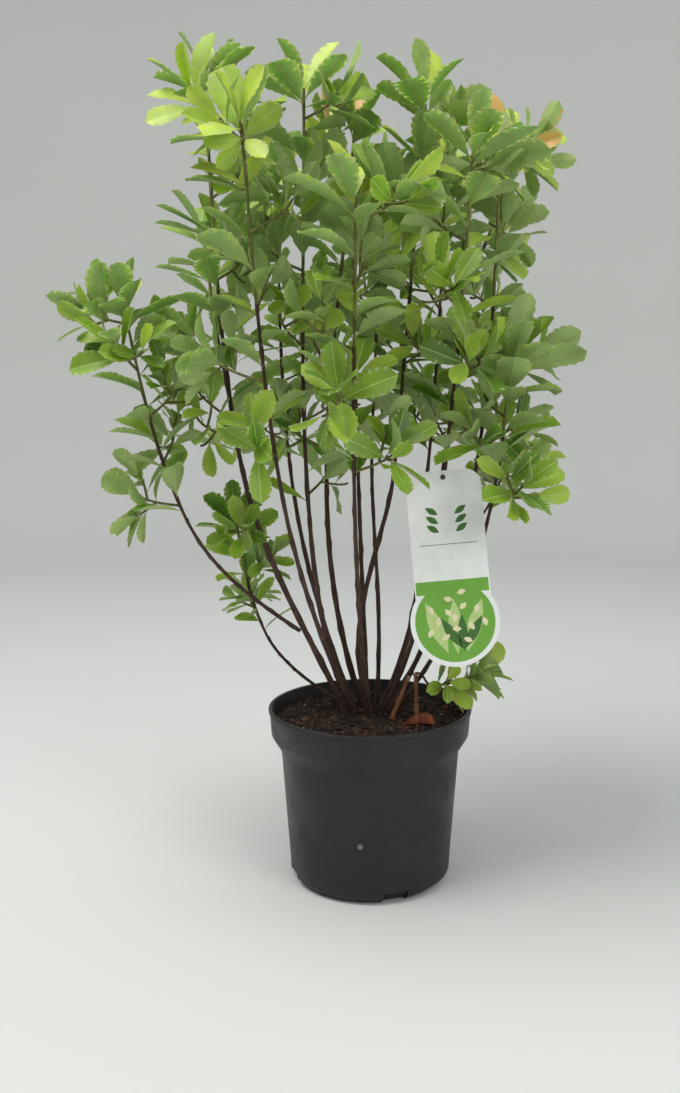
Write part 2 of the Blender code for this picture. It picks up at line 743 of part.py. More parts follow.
def main():
    for obj in list(bpy.data.objects):
        bpy.data.objects.remove(obj)
    make_pot()
    make_soil()
    limbs = {}
    for spec in STEMS:
        limbs[spec.name] = limb_of(spec, limbs)
    bark = {"stem_" + name: limb.bare_solid() for name, limb in limbs.items()}
    bark["label_twig"] = label_twig(limbs[LABEL_STEM])
    dead = {name: stub(*ends) for name, ends in STUBS.items()}
    fallen = dead_leaf()
    for name, solid in bark.items():
        finish(solid_object(name, solid), "young_bark")
    for name, solid in dead.items():
        finish(solid_object(name, solid), "dead_wood")
    finish(solid_object("dead_leaf", fallen), "dead_leaf_brown")
    label = make_label()
    crown = Crown(limbs, [*bark.values(), *dead.values(), fallen, mesh_solid(label)])
    for seed, (name, limb) in enumerate(limbs.items(), FIRST_SEED):
        mass = Mass(crown, limb, seed)
        mass.grow()
        join("leaves_" + name, mass.solids)


main()
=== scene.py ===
"""Looks of a potted summersweet: a shrub of many thin stems in a black nursery pot.

Metres, +Z up. The origin is the middle of the pot's flat underside, and -Y is the front.
Twigs and leaves grow by the solids' own seeded rule, then finer ones grow between them.
"""

import json
import math
import random
from typing import NamedTuple

import bmesh
import bpy
import numpy as np
from mathutils import Matrix, Quaternion, Vector, noise
from mathutils.bvhtree import BVHTree
from mathutils.geometry import intersect_point_line

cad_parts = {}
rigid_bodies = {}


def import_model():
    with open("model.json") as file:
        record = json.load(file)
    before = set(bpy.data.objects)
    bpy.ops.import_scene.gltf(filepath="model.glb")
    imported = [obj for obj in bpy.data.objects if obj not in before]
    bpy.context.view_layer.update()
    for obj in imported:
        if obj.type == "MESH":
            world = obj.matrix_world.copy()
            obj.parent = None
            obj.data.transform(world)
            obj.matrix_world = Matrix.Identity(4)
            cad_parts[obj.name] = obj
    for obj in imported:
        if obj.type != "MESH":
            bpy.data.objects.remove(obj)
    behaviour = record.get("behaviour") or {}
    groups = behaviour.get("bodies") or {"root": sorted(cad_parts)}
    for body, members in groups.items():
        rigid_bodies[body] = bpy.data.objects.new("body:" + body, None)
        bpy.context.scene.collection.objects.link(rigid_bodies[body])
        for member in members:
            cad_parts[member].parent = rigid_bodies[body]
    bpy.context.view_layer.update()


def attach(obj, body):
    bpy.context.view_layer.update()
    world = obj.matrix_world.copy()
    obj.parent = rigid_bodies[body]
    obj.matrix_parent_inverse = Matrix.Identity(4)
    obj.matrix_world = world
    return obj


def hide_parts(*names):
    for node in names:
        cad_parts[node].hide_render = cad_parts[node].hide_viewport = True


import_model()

bl_info = {
    "name": "Potted summersweet",
    "version": (1, 0, 0),
    "blender": (4, 5, 0),
    "location": "View3D > Sidebar > Summersweet",
    "description": "Builds the bark, leaves, pot, compost and label of a potted summersweet",
    "category": "Object",
}

MM = 0.001

# Gap kept between pieces that touch, and the way up
GAP = 0.0003
UP = Vector((0, 0, 1))

# Pot: a tapered shell under a deep collar
POT_HEIGHT = 0.161
RIM_RADIUS = 0.0998
RIM_WIDTH = 0.0029
COLLAR_DEPTH = 0.025
COLLAR_RADIUS = 0.0968
SHOULDER_DEPTH = 0.039
WALL_TOP_RADIUS = 0.0872
WALL_FOOT_RADIUS = 0.0775
FOOT_RADIUS = 0.0705
FOOT_RISE = 0.0065
WALL = 0.0018
SLOPE_SHARE = 0.6

# Drain slots cut through the bottom corner of the pot
SLOTS = 4
SLOT_FIRST = math.radians(-72.0)
SLOT_WIDTH = 0.023
SLOT_HEIGHT = 0.0105
SLOT_INNER_RADIUS = 0.062
SLOT_OUTER_RADIUS = 0.090

# Soil: level at the wall, a flat mound where the stems stand
SOIL_LEVEL = 0.149
MOUND_LEVEL = 0.1545
MOUND_RADIUS = 0.062
STAND = MOUND_LEVEL + GAP

# Limbs: sides and rings of the tubes, and their radii
STEM_SIDES = 6
STEM_RINGS = 7
BUTT_SWELL = 1.25
FORK_SHARE = 0.55
FORK_EXTRA = 0.0004
SHOOT_SIDES = 4
SHOOT_RINGS = 6
SHOOT_TIP_RADIUS = 0.0013
TWIG_SIDES = 3
TWIG_RINGS = 2
TWIG_RADIUS = 0.0014
TWIG_TIP_RADIUS = 0.0012

# How a limb bends: pull at its foot and fork, how far it has turned into the shoot's way at
# the fork, and how upright its last bud grows
FOOT_PULL = 1.15
FORK_TURN = 2.0
FORK_PULL = 0.95
BUD_UPRIGHT = 0.25

# Seat of a limb on its parent: points tried round its end, and the step towards the parent
SEAT_POINTS = 24
SEAT_STEP = 0.00005

# Stops along a shoot, in steps from its fork and from its bud
FIRST_STOP = 0.6
LAST_STOP = 0.4

# Twigs: shares along the shoot and out from it at the first, the end and the last direction
TWIG_FIRST = (0.41, 0.91)
TWIG_END = (0.61, 0.94)
TWIG_LAST = (0.91, 0.41)
TWIG_SINK = 0.5
TWIG_TRIES = 3
TWIG_TURN = 0.7
TWIG_LENGTHS = (0.75, 1.1)
TWIG_SHORTER_UP = 0.35
TWIG_LEAF_SHARE = 0.8

# Leaves: a six-faced blade with a keel below, widest past its middle
GOLDEN_ANGLE = math.radians(137.5)
LEAF_WIDTH_RATIO = 0.50
LEAF_WIDEST = 0.60
LEAF_KEEL = 0.28
LEAF_SINK = 0.25
LEAF_THICKNESS_RATIO = 0.02
LEAF_FOLD = 0.05
LEAF_DROOP = 0.06
LEAF_FREE_FROM = 0.16
LEAF_SIZES = (0.86, 1.08)
LEAF_PITCH = math.radians(60.0)
LEAF_ROLL = 0.45
LEAF_TILT = 0.16
LEAF_LOW_SHARE = 0.66
LEAF_TRIES = 5
LEAF_TURN = 0.45

# Rosettes: leaves crowded round a bud, the inner ones more upright and smaller
ROSETTE_OUTER = math.radians(64.0)
ROSETTE_INNER = math.radians(20.0)
ROSETTE_DEPTH = 0.016
ROSETTE_TOP = 0.001
ROSETTE_SHRINK = 0.18
TWIG_ROSETTE = 3
BUD_ROSETTE = 6

# Room: how far a piece may stray past its own mass's space, and how clear it stays of others
STRAY = 0.022
CLEARANCE = 0.0005
FIRST_SEED = 11

# Hang label: a neck with rounded shoulders on a round disc, held by a twig through its hole
LABEL_THICKNESS = 0.0006
LABEL_NECK_WIDTH = 0.068
LABEL_SHOULDER_RADIUS = 0.014
LABEL_DISC_RADIUS = 0.0405
LABEL_TOP_TO_DISC = 0.137
LABEL_HOLE_RADIUS = 0.0024
LABEL_HOLE_DROP = 0.006
LABEL_LEAN = math.radians(5.0)
LABEL_HOLE = Vector((0.0655, -0.084, 0.3905))
LABEL_TWIG_RADIUS = 0.0016
LABEL_TWIG_TIP_RADIUS = 0.0012
LABEL_TWIG_LEAN = Vector((-0.05, -1.0, 0.25)).normalized()
LABEL_TWIG_RISE = 0.004
LABEL_TWIG_PAST_HOLE = Vector((0, -0.006, 0.0008))

# Dead stubs of old stems: foot and cut end
STUB_RADIUS = 0.0020
STUB_END_RADIUS = 0.0016
STUBS = {
    "stub_leaning": (Vector((0.019, -0.024, STAND)), Vector((0.037, -0.028, 0.196))),
    "stub_upright": (Vector((0.045, -0.030, STAND)), Vector((0.0435, -0.029, 0.199))),
}

# Dead leaf on the soil: root, tip and the way its face looks
DEAD_LEAF_ROOT = Vector((0.026, -0.052, STAND))
DEAD_LEAF_TIP = Vector((0.060, -0.042, 0.1640))
DEAD_LEAF_FACE = Vector((-0.5, 0.3, 1.0))

# Leaf that is seen: how many stations its blade has, the shares of the blade between which it
# is toothed, and what a tooth and a notch make of its half width
STATIONS = 15
TEETH_FROM = 0.30
TEETH_TO = 0.97
TOOTH_OUT = 1.03
NOTCH_IN = 0.90

# The same leaf in shares of its length: its stalk, half the rib's width, how far a tooth leans
# on, the height of its pleats, its thickness, and its half width where it is widest
STALK = 0.08
RIB = 0.008
TOOTH_LEAN = 0.012
PLEAT = 0.0035
RIB_THICKNESS = 0.010
BLADE_THICKNESS = 0.0045
WIDEST = 0.24

# Wave along a leaf's edge: radians over its length, and the shift of each side
WAVE_TURN = 15.0
WAVE_SHIFT = 1.1

# Ranges that a leaf's looks are drawn from; its width is a share of the rule's
WIDTHS = (0.84, 1.0)
FOLDS = (0.15, 0.5)
DROOPS = (0.05, 0.5)
TWISTS = (-0.3, 0.3)
WAVES = (0.0, 0.016)

# Tints by height: bronze only above BRONZE_FROM, nothing older than fresh above YOUNG_FROM, and
# shade only below SHADE_TO, where its darker green of old leaves is also painted shade low in the
# crown. Leaves pitched less than INNER_PITCH off their limb are younger
BRONZE_FROM = 0.70
YOUNG_FROM = 0.64
SHADE_TO = 0.50
INNER_PITCH = math.radians(38.0)

# Bark relief: what a knot adds at its own ring, at the rings beside it and on its scarred side,
# in shares of the stem's radius
KNOT = 0.16
KNOT_NEAR = 0.10
KNOT_SCAR = 0.28

# Marks on the pot: the gate's dot (radius at the wall and at its face, depth) and its place,
# with the wall's radius there, and the shallow recess in the collar
GATE_SIZE = (0.0026, 0.0021, 0.0008)
GATE_X = -0.0090
GATE_WALL_RADIUS = 0.0815
GATE_HEIGHT = 0.0555
RECESS_SIZE = Vector((0.004, 0.026, 0.0026))
RECESS_PLACE = Vector((0.1000, 0, 0.1535))
RECESS_TURN = math.radians(-100.0)

# Print on the label: rule and band, down from its top edge, the field inside the disc's border
# and the thickness of a layer of ink
RULE_HALF_WIDTH = 0.026
RULE_FROM_TO = (-0.0660, -0.0668)
BAND_FROM_TO = (-0.099, -0.111)
BAND_BORDER = 0.001
FIELD_RADIUS = 0.0362
FIELD_SIDES = 72
INK_LAYER = 0.00003

# Stage: how the floor turns up, and how high its edge stands
COVE_RADIUS = 0.8
WALL_TOP = 3.2
STAGE_SIDES = 96

# Looks: finer rings than the solids, and what grows between their twigs
FINE_RINGS = 5
BURIED = 0.006
STUB_BURIED = 0.004
FINE_TWIG_SHARE = 0.45
FINE_LEAF_SHARE = 0.66
FINE_ROSETTE = 3
FINE_ROSETTE_SWELL = 1.2
FINE_TWIGS = 2
FINE_TWIG_STEP = 0.4
SHOOT_LEAVES = 14
SHOOT_LEAF_SHARE = 0.8
SLOT_SIZE = Vector((SLOT_OUTER_RADIUS - SLOT_INNER_RADIUS, SLOT_WIDTH, 2 * SLOT_HEIGHT))
SLOT_MIDDLE = (SLOT_OUTER_RADIUS + SLOT_INNER_RADIUS) / 2
SOIL_RADIUS = COLLAR_RADIUS - WALL - GAP


class Stem(NamedTuple):
    """One stem: where it stands or leaves another, where its foliage begins, its last bud.

    foot is a place on the mound (x, y), or a height on the parent stem. lean is the first
    direction, out per unit of rise. width is the diameter at the foot, reach is how far
    twigs run out from the shoot, leaf is the full leaf length, twigs how many it carries.
    """

    name: str
    foot: tuple
    fork: tuple
    bud: tuple
    lean: tuple
    width: float
    reach: float
    leaf: float
    twigs: int
    parent: str = ""


STEMS = [
    Stem("left_tall", (-0.023, -0.004), (-0.124, -0.026, 0.400), (-0.158, -0.034, 0.762),
         (-0.50, 0.0), 0.0062, 0.050, 0.074, 4),
    Stem("left_back", (0.375,), (-0.134, 0.010, 0.425), (-0.176, 0.062, 0.640),
         (-0.30, 0.50), 0.0036, 0.052, 0.064, 3, "left_tall"),
    Stem("left_long", (0.238,), (-0.172, -0.052, 0.350), (-0.228, -0.062, 0.548),
         (-1.40, -0.30), 0.0038, 0.045, 0.062, 4, "left_tall"),
    Stem("left_low", (-0.026, 0.018), (-0.106, 0.030, 0.225), (-0.132, -0.006, 0.345),
         (-1.60, 0.35), 0.0034, 0.040, 0.050, 2),
    Stem("left_middle", (-0.017, 0.006), (-0.058, -0.032, 0.350), (-0.062, -0.052, 0.752),
         (-0.45, -0.20), 0.0058, 0.052, 0.072, 5),
    Stem("middle", (-0.007, 0.013), (-0.044, 0.022, 0.390), (-0.016, 0.030, 0.740),
         (-0.35, 0.0), 0.0060, 0.050, 0.072, 4),
    Stem("front_left", (-0.015, -0.009), (-0.082, -0.086, 0.390), (-0.112, -0.112, 0.700),
         (-0.40, -0.50), 0.0050, 0.052, 0.070, 4),
    Stem("back_left", (-0.018, 0.028), (-0.088, 0.098, 0.400), (-0.106, 0.138, 0.712),
         (-0.45, 0.45), 0.0052, 0.056, 0.072, 4),
    Stem("back", (-0.003, 0.036), (-0.014, 0.120, 0.410), (-0.022, 0.160, 0.728),
         (-0.05, 0.60), 0.0052, 0.056, 0.072, 4),
    Stem("right_upright", (0.001, -0.001), (0.024, -0.022, 0.400), (0.052, -0.044, 0.748),
         (-0.40, -0.05), 0.0054, 0.046, 0.074, 4),
    Stem("middle_back", (0.006, 0.021), (0.002, 0.078, 0.410), (0.014, 0.092, 0.690),
         (0.10, 0.30), 0.0044, 0.050, 0.070, 3),
    Stem("right_middle", (0.009, 0.008), (0.060, 0.038, 0.400), (0.080, 0.052, 0.722),
         (0.55, 0.10), 0.0050, 0.050, 0.070, 4),
    Stem("right_front", (0.011, -0.007), (0.069, -0.064, 0.405), (0.092, -0.096, 0.686),
         (0.50, -0.30), 0.0046, 0.050, 0.070, 4),
    Stem("right_tall", (0.019, 0.003), (0.106, 0.004, 0.400), (0.130, 0.000, 0.720),
         (0.60, 0.0), 0.0054, 0.042, 0.068, 4),
    Stem("back_right", (0.015, 0.026), (0.084, 0.108, 0.400), (0.108, 0.136, 0.704),
         (0.45, 0.50), 0.0050, 0.054, 0.072, 4),
    Stem("front", (-0.001, -0.016), (-0.014, -0.098, 0.380), (-0.012, -0.146, 0.630),
         (-0.10, -0.60), 0.0046, 0.056, 0.068, 4),
    Stem("right_outer", (0.022, -0.012), (0.108, -0.076, 0.355), (0.128, -0.082, 0.500),
         (0.75, -0.10), 0.0042, 0.042, 0.070, 3),
    Stem("right_low", (0.325,), (0.124, 0.030, 0.362), (0.138, 0.022, 0.400),
         (0.90, 0.60), 0.0026, 0.036, 0.048, 1, "right_tall"),
    Stem("right_foot", (0.192,), (0.062, -0.030, 0.188), (0.108, -0.036, 0.204),
         (1.60, -0.60), 0.0022, 0.024, 0.042, 1, "right_tall"),
]
LABEL_STEM = "right_front"


def hex_colour(name, of, default):
    """Setting that holds an sRGB colour as a hex value."""
    return bpy.props.StringProperty(name=name, description="sRGB colour of " + of, default=default)


class PlantSettings(bpy.types.PropertyGroup):
    """How the plant grows and its colours."""

    extra_leaves: bpy.props.IntProperty(
        name="Extra leaves", description="Rounds of leaves tried along each shoot",
        default=1, min=0, max=4)
    young: hex_colour("Young leaf", "the young leaves", "#a9bf45")
    fresh: hex_colour("Fresh leaf", "this season's leaves", "#92ad3a")
    mature: hex_colour("Mature leaf", "the full-grown leaves", "#76932d")
    # The shade tint is the darker green of the oldest leaves and also painted shade: it goes only on
    # leaves low in the crown
    shade: hex_colour("Shade leaf", "the oldest leaves", "#58762a")
    bronze: hex_colour("Bud leaf", "some inner leaves of the highest buds", "#c79a55")
    under: hex_colour("Leaf underside", "the undersides", "#93a868")
    bark: hex_colour("Bark", "the lower stems", "#452e26")
    shoot: hex_colour("Shoot", "this season's shoots", "#6a6a35")


class PotSettings(bpy.types.PropertyGroup):
    """Finish of the pot, the compost and the label."""

    sides: bpy.props.IntProperty(
        name="Sides", description="Facets round the pot", default=144, min=48, max=256)
    plastic: hex_colour("Pot", "the pot", "#111211")
    compost: hex_colour("Compost", "the compost", "#2b211a")
    chips: bpy.props.IntProperty(
        name="Chips", description="Bark chips and fibres on the compost", default=1300, min=0)
    card: hex_colour("Label", "the bare label", "#eceeec")
    ink: hex_colour("Green ink", "the label's green band", "#6fa83c")


class StageSettings(bpy.types.PropertyGroup):
    """Floor, light and camera."""

    floor: hex_colour("Floor", "the floor", "#d3d4d0")
    floor_radius: bpy.props.FloatProperty(
        name="Floor radius", description="Flat part of the floor", default=2.3, unit="LENGTH")
    key_power: bpy.props.FloatProperty(
        name="Key light", description="Power of the large light above", default=42.0,
        subtype="POWER")
    fill_power: bpy.props.FloatProperty(
        name="Fill light", description="Power of the light beside the camera", default=14.0,
        subtype="POWER")
    sky: bpy.props.FloatProperty(
        name="Sky", description="Strength of the even light from all round", default=0.75)
    eye: bpy.props.FloatVectorProperty(
        name="Camera", description="Where the camera stands", size=3, unit="LENGTH",
        default=(0.0, -0.963, 0.438))
    lens: bpy.props.FloatProperty(
        name="Lens", description="Focal length in millimetres", default=32.1)
    shift: bpy.props.FloatVectorProperty(
        name="Shift", description="Shift of the picture, in shares of its long side", size=2,
        default=(-0.0275, -0.1116))


def linear(text):
    """Turn an sRGB hex value into a linear colour."""
    shares = [int(text[i:i + 2], 16) / 255 for i in (1, 3, 5)]
    return (*(s / 12.92 if s <= 0.04045 else ((s + 0.055) / 1.055) ** 2.4 for s in shares), 1.0)


def add(tree, kind, sockets=None, **settings):
    """Add a node, set its properties, and set or link its input sockets."""
    node = tree.nodes.new(kind)
    for name, value in settings.items():
        setattr(node, name, value)
    for name, value in (sockets or {}).items():
        if isinstance(value, bpy.types.NodeSocket):
            tree.links.new(value, node.inputs[name])
        else:
            node.inputs[name].default_value = value
    return node


def blank(name, roughness=0.5, ior=1.5):
    """A new material, its node tree and its shader."""
    material = bpy.data.materials.new(name)
    material.use_nodes = True
    shader = material.node_tree.nodes["Principled BSDF"]
    shader.inputs["Roughness"].default_value = roughness
    shader.inputs["IOR"].default_value = ior
    return material, material.node_tree, shader


def ramp(tree, factor, stops):
    """A colour ramp over (place, colour) stops, and its colour socket."""
    node = add(tree, "ShaderNodeValToRGB", {"Fac": factor})
    node.color_ramp.elements[0].position, node.color_ramp.elements[0].color = stops[0]
    node.color_ramp.elements[1].position, node.color_ramp.elements[1].color = stops[-1]
    for place, colour in stops[1:-1]:
        node.color_ramp.elements.new(place).color = colour
    return node.outputs["Color"]


def grain(tree, size, detail=3.0, stretch=(1, 1, 1)):
    """Noise whose blotches are about size metres across, in the object's own space."""
    place = add(tree, "ShaderNodeTexCoord").outputs["Object"]
    scaled = add(tree, "ShaderNodeMapping", {"Vector": place, "Scale": stretch})
    return add(tree, "ShaderNodeTexNoise", {
        "Vector": scaled.outputs["Vector"], "Scale": 0.5 / size, "Detail": detail}).outputs["Fac"]


def shaded(colour, factor):
    """The colour made lighter or darker."""
    return (*(min(1.0, part * factor) for part in colour[:3]), 1.0)


def relief(tree, shader, height, depth):
    """Bump of a depth in metres from a height socket."""
    bump = add(tree, "ShaderNodeBump", {"Height": height, "Distance": depth, "Strength": 1.0})
    tree.links.new(bump.outputs["Normal"], shader.inputs["Normal"])


def leaf_material(name, text, roughness=0.46, glow=0.32):
    """Living leaf: waxy skin over soft tissue, so it shines a little and lets light through."""
    material, tree, shader = blank(name, roughness=roughness, ior=1.42)
    colour = linear(text)
    blotch = grain(tree, 14 * MM, 2.0)
    tone = ramp(tree, blotch, [(0.30, shaded(colour, 0.80)), (0.70, shaded(colour, 1.18))])
    tree.links.new(tone, shader.inputs["Base Color"])
    shader.inputs["Subsurface Weight"].default_value = glow
    shader.inputs["Subsurface Radius"].default_value = (0.5, 1.0, 0.15)
    shader.inputs["Subsurface Scale"].default_value = 2.0 * MM
    relief(tree, shader, grain(tree, 1.6 * MM, 2.0), 0.12 * MM)
    return material


def bark_material(name, text, roughness=0.72):
    """Young bark: thin dull skin with lengthwise streaks and pale pores."""
    material, tree, shader = blank(name, roughness=roughness, ior=1.45)
    colour = linear(text)
    streaks = grain(tree, 1.4 * MM, 4.0, (1, 1, 0.18))
    tone = ramp(tree, streaks, [(0.32, shaded(colour, 0.55)), (0.55, colour),
                                (0.72, shaded(colour, 1.7))])
    tree.links.new(tone, shader.inputs["Base Color"])
    relief(tree, shader, grain(tree, 0.9 * MM, 3.0, (1, 1, 0.3)), 0.25 * MM)
    return material


def plastic_material(text):
    """Moulded polypropylene: satin black skin, dulled by dust and rubbed pale in places."""
    material, tree, shader = blank("polypropylene_moulded", ior=1.49)
    colour = linear(text)
    dust = grain(tree, 38 * MM, 5.0, (1, 1, 0.6))
    tone = ramp(tree, dust, [(0.35, shaded(colour, 0.75)), (0.58, colour),
                             (0.75, shaded(colour, 1.9))])
    tree.links.new(tone, shader.inputs["Base Color"])
    dull = add(tree, "ShaderNodeMapRange", {
        "Value": grain(tree, 16 * MM, 4.0), "From Min": 0.3, "From Max": 0.7,
        "To Min": 0.36, "To Max": 0.56})
    tree.links.new(dull.outputs["Result"], shader.inputs["Roughness"])
    relief(tree, shader, grain(tree, 1.1 * MM, 2.0), 0.05 * MM)
    return material


def compost_material(name, text, size=3 * MM):
    """Damp peat and composted bark: crumbly, with no shine."""
    material, tree, shader = blank(name, roughness=0.92, ior=1.35)
    colour = linear(text)
    tone = ramp(tree, grain(tree, size, 5.0), [(0.34, shaded(colour, 0.4)), (0.55, colour),
                                               (0.78, shaded(colour, 2.2))])
    tree.links.new(tone, shader.inputs["Base Color"])
    relief(tree, shader, grain(tree, size / 2, 4.0), 0.8 * MM)
    return material


def print_material(name, text):
    """Printed polypropylene sheet: even colour with a fine print grain and a soft gloss."""
    material, tree, shader = blank(name, roughness=0.38, ior=1.49)
    colour = linear(text)
    tone = ramp(tree, grain(tree, 5 * MM, 2.0), [(0.3, shaded(colour, 0.95)),
                                                 (0.7, shaded(colour, 1.04))])
    tree.links.new(tone, shader.inputs["Base Color"])
    relief(tree, shader, grain(tree, 0.8 * MM, 1.0), 0.02 * MM)
    return material


def floor_material(text):
    """Matt painted board: pale and even, so only soft shadows show on it."""
    material, tree, shader = blank("matt_paint", roughness=0.85)
    colour = linear(text)
    tone = ramp(tree, grain(tree, 0.4, 2.0), [(0.3, shaded(colour, 0.98)), (0.7, colour)])
    tree.links.new(tone, shader.inputs["Base Color"])
    return material


class Solid(NamedTuple):
    """Corners and faces of one closed shape, before it becomes an object."""

    corners: list
    faces: list

    def tree(self):
        return BVHTree.FromPolygons(self.corners, self.faces)


class Shape(NamedTuple):
    """Corners, faces and the slot of each face of a shape that is seen."""

    corners: list
    faces: list
    slots: list


def shown(mesh, materials, smooth_below):
    """Object for a mesh, with its materials and with edges sharp from an angle in degrees."""
    for material in materials:
        mesh.materials.append(material)
    mesh.shade_smooth()
    mesh.set_sharp_from_angle(angle=math.radians(smooth_below))
    obj = bpy.data.objects.new(mesh.name, mesh)
    bpy.context.scene.collection.objects.link(obj)
    return obj


def piece(name, corners, faces, slots, materials, smooth_below=50.0):
    """Mesh object from arrays: corners, lists of quads and triangles, and a slot for each."""
    mesh = bpy.data.meshes.new(name)
    mesh.vertices.add(len(corners))
    mesh.vertices.foreach_set("co", np.asarray(corners, np.float32).ravel())
    loops = np.concatenate([np.asarray(f, np.int32).ravel() for f in faces if len(f)])
    sizes = np.concatenate([np.full(len(f), np.asarray(f).shape[1]) for f in faces if len(f)])
    mesh.loops.add(len(loops))
    mesh.loops.foreach_set("vertex_index", loops)
    mesh.polygons.add(len(sizes))
    starts = np.concatenate([[0], np.cumsum(sizes)[:-1]]).astype(np.int32)
    mesh.polygons.foreach_set("loop_start", starts)
    mesh.polygons.foreach_set("material_index", np.asarray(slots, np.int32))
    mesh.update(calc_edges=True)
    mesh.validate()
    return shown(mesh, materials, smooth_below)


def place(obj, slot, *nodes):
    """The piece rides on the plant and stands for nodes. slot is not used."""
    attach(obj, "root")
    if nodes:
        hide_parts(*nodes)
    return obj


def from_bmesh(name, bm, materials, smooth_below=35.0):
    """Mesh object from a bmesh whose faces point out."""
    bmesh.ops.recalc_face_normals(bm, faces=bm.faces)
    mesh = bpy.data.meshes.new(name)
    bm.to_mesh(mesh)
    bm.free()
    return shown(mesh, materials, smooth_below)


def smooth_line(start, start_pull, end, end_pull, count):
    """Points along a curve that leaves start and reaches end with the given pulls."""
    points = []
    for step in range(count + 1):
        t = step / count
        leave = t**3 - 2 * t**2 + t
        arrive = t**3 - t**2
        share = 3 * t**2 - 2 * t**3
        points.append(start.lerp(end, share) + start_pull * leave + end_pull * arrive)
    return points


def directions(points):
    """Unit direction of travel at each point."""
    last = len(points) - 1
    return [
        (points[min(i + 1, last)] - points[max(i - 1, 0)]).normalized()
        for i in range(len(points))
    ]


def across(direction, hint=Vector((0.31, -0.95, 0.05))):
    """A unit vector square to the direction, as near the hint as it can be."""
    return (hint - direction * hint.dot(direction)).normalized()


def mix(way, out, shares):
    """Vector made of a share along the way and a share out from it."""
    return way * shares[0] + out * shares[1]


def taper(first, last, count):
    """Radii that run evenly from first to last."""
    return [first + (last - first) * i / (count - 1) for i in range(count)]


def ringed(points, radii, sides, ways, shape=None):
    """Corners and side faces of a tube. shape gives each corner its own share of the radius."""
    side = across(ways[0])
    corners = []
    faces = []
    for ring, (point, way, radius) in enumerate(zip(points, ways, radii)):
        side = across(way, side)
        for corner in range(sides):
            turn = Quaternion(way, math.tau * corner / sides)
            share = shape(ring, corner) if shape else 1.0
            corners.append(point + turn @ side * radius * share)
        for corner in range(sides if ring else 0):
            a = (ring - 1) * sides + corner
            b = (ring - 1) * sides + (corner + 1) % sides
            faces.append((a, b, b + sides, a + sides))
    return corners, faces


def rough_tube(points, radii, sides, shape=None):
    """Limb that is seen: its ends are closed to a point, the last one a little domed."""
    ways = directions(points)
    corners, faces = ringed(points, radii, sides, ways, shape)
    top = (len(points) - 1) * sides
    corners += [points[0].copy(), points[-1] + ways[-1] * radii[-1] * 0.7]
    for corner in range(sides):
        after = (corner + 1) % sides
        faces.append((after, corner, len(corners) - 2))
        faces.append((top + corner, top + after, len(corners) - 1))
    return Shape(corners, faces, [0] * len(faces))


def joined(name, solids, materials, smooth_below=50.0):
    """One object from many solids."""
    corners = []
    quads, tris, quad_slots, tri_slots = [], [], [], []
    for solid in solids:
        base = len(corners)
        corners.extend(solid.corners)
        for face, slot in zip(solid.faces, solid.slots):
            faces, slots = (quads, quad_slots) if len(face) == 4 else (tris, tri_slots)
            faces.append([base + i for i in face])
            slots.append(slot)
    faces = [f for f in (quads, tris) if f]
    return piece(name, [tuple(c) for c in corners], faces, quad_slots + tri_slots, materials,
                 smooth_below)


def tube(points, radii, sides, first=None, last=None):
    """Tapering limb with flat ends along the points; an end may be given its own direction."""
    ways = directions(points)
    ways[0] = first or ways[0]
    ways[-1] = last or ways[-1]
    corners, faces = ringed(points, radii, sides, ways)
    top = (len(points) - 1) * sides
    ends = [tuple(range(sides))[::-1], tuple(range(top, top + sides))]
    return Solid(corners, ends[:1] + faces + ends[1:])


def blade(root, along, face, length, start=0.0, swell=0.0):
    """Leaf of six faces: root, two raised edges, the keel under its rib, and tip."""
    side = along.cross(face)
    half = length * LEAF_WIDTH_RATIO / 2 + swell
    widest = root + along * length * LEAF_WIDEST + face * (length * LEAF_FOLD + swell)
    keel = root + along * length * LEAF_KEEL - face * (length * LEAF_THICKNESS_RATIO + swell)
    tip = root + along * (length + swell) - face * length * LEAF_DROOP
    corners = [root + along * length * start, widest + side * half, widest - side * half, keel, tip]
    faces = [(0, 1, 2), (4, 2, 1), (0, 3, 1), (0, 2, 3), (4, 1, 3), (4, 3, 2)]
    return Solid(corners, faces)


class Limb(NamedTuple):
    """A stem's bare part, and the shoot that goes on from it through the foliage."""

    spec: Stem
    bare: list
    bare_radii: list
    shoot: list
    shoot_radii: list
    fork_way: Vector

    def bare_solid(self):
        """The bare stem: cut level at the soil, or square where it leaves another stem."""
        first = Vector((*self.spec.lean, 1.0)).normalized() if self.spec.parent else UP
        return tube(self.bare, self.bare_radii, STEM_SIDES, first, self.fork_way)

    def shoot_solid(self, swell=0.0):
        """The shoot, which starts a gap past the end of the bare stem."""
        radii = [radius + swell for radius in self.shoot_radii]
        return tube(self.shoot, radii, SHOOT_SIDES, self.fork_way)

    def at(self, share):
        """Place, direction and radius at a share of the shoot's length."""
        steps = share * (len(self.shoot) - 1)
        low = min(int(steps), len(self.shoot) - 2)
        part = steps - low
        ways = directions(self.shoot)
        place = self.shoot[low].lerp(self.shoot[low + 1], part)
        way = ways[low].lerp(ways[low + 1], part).normalized()
        radius = self.shoot_radii[low] * (1 - part) + self.shoot_radii[low + 1] * part
        return place, way, radius


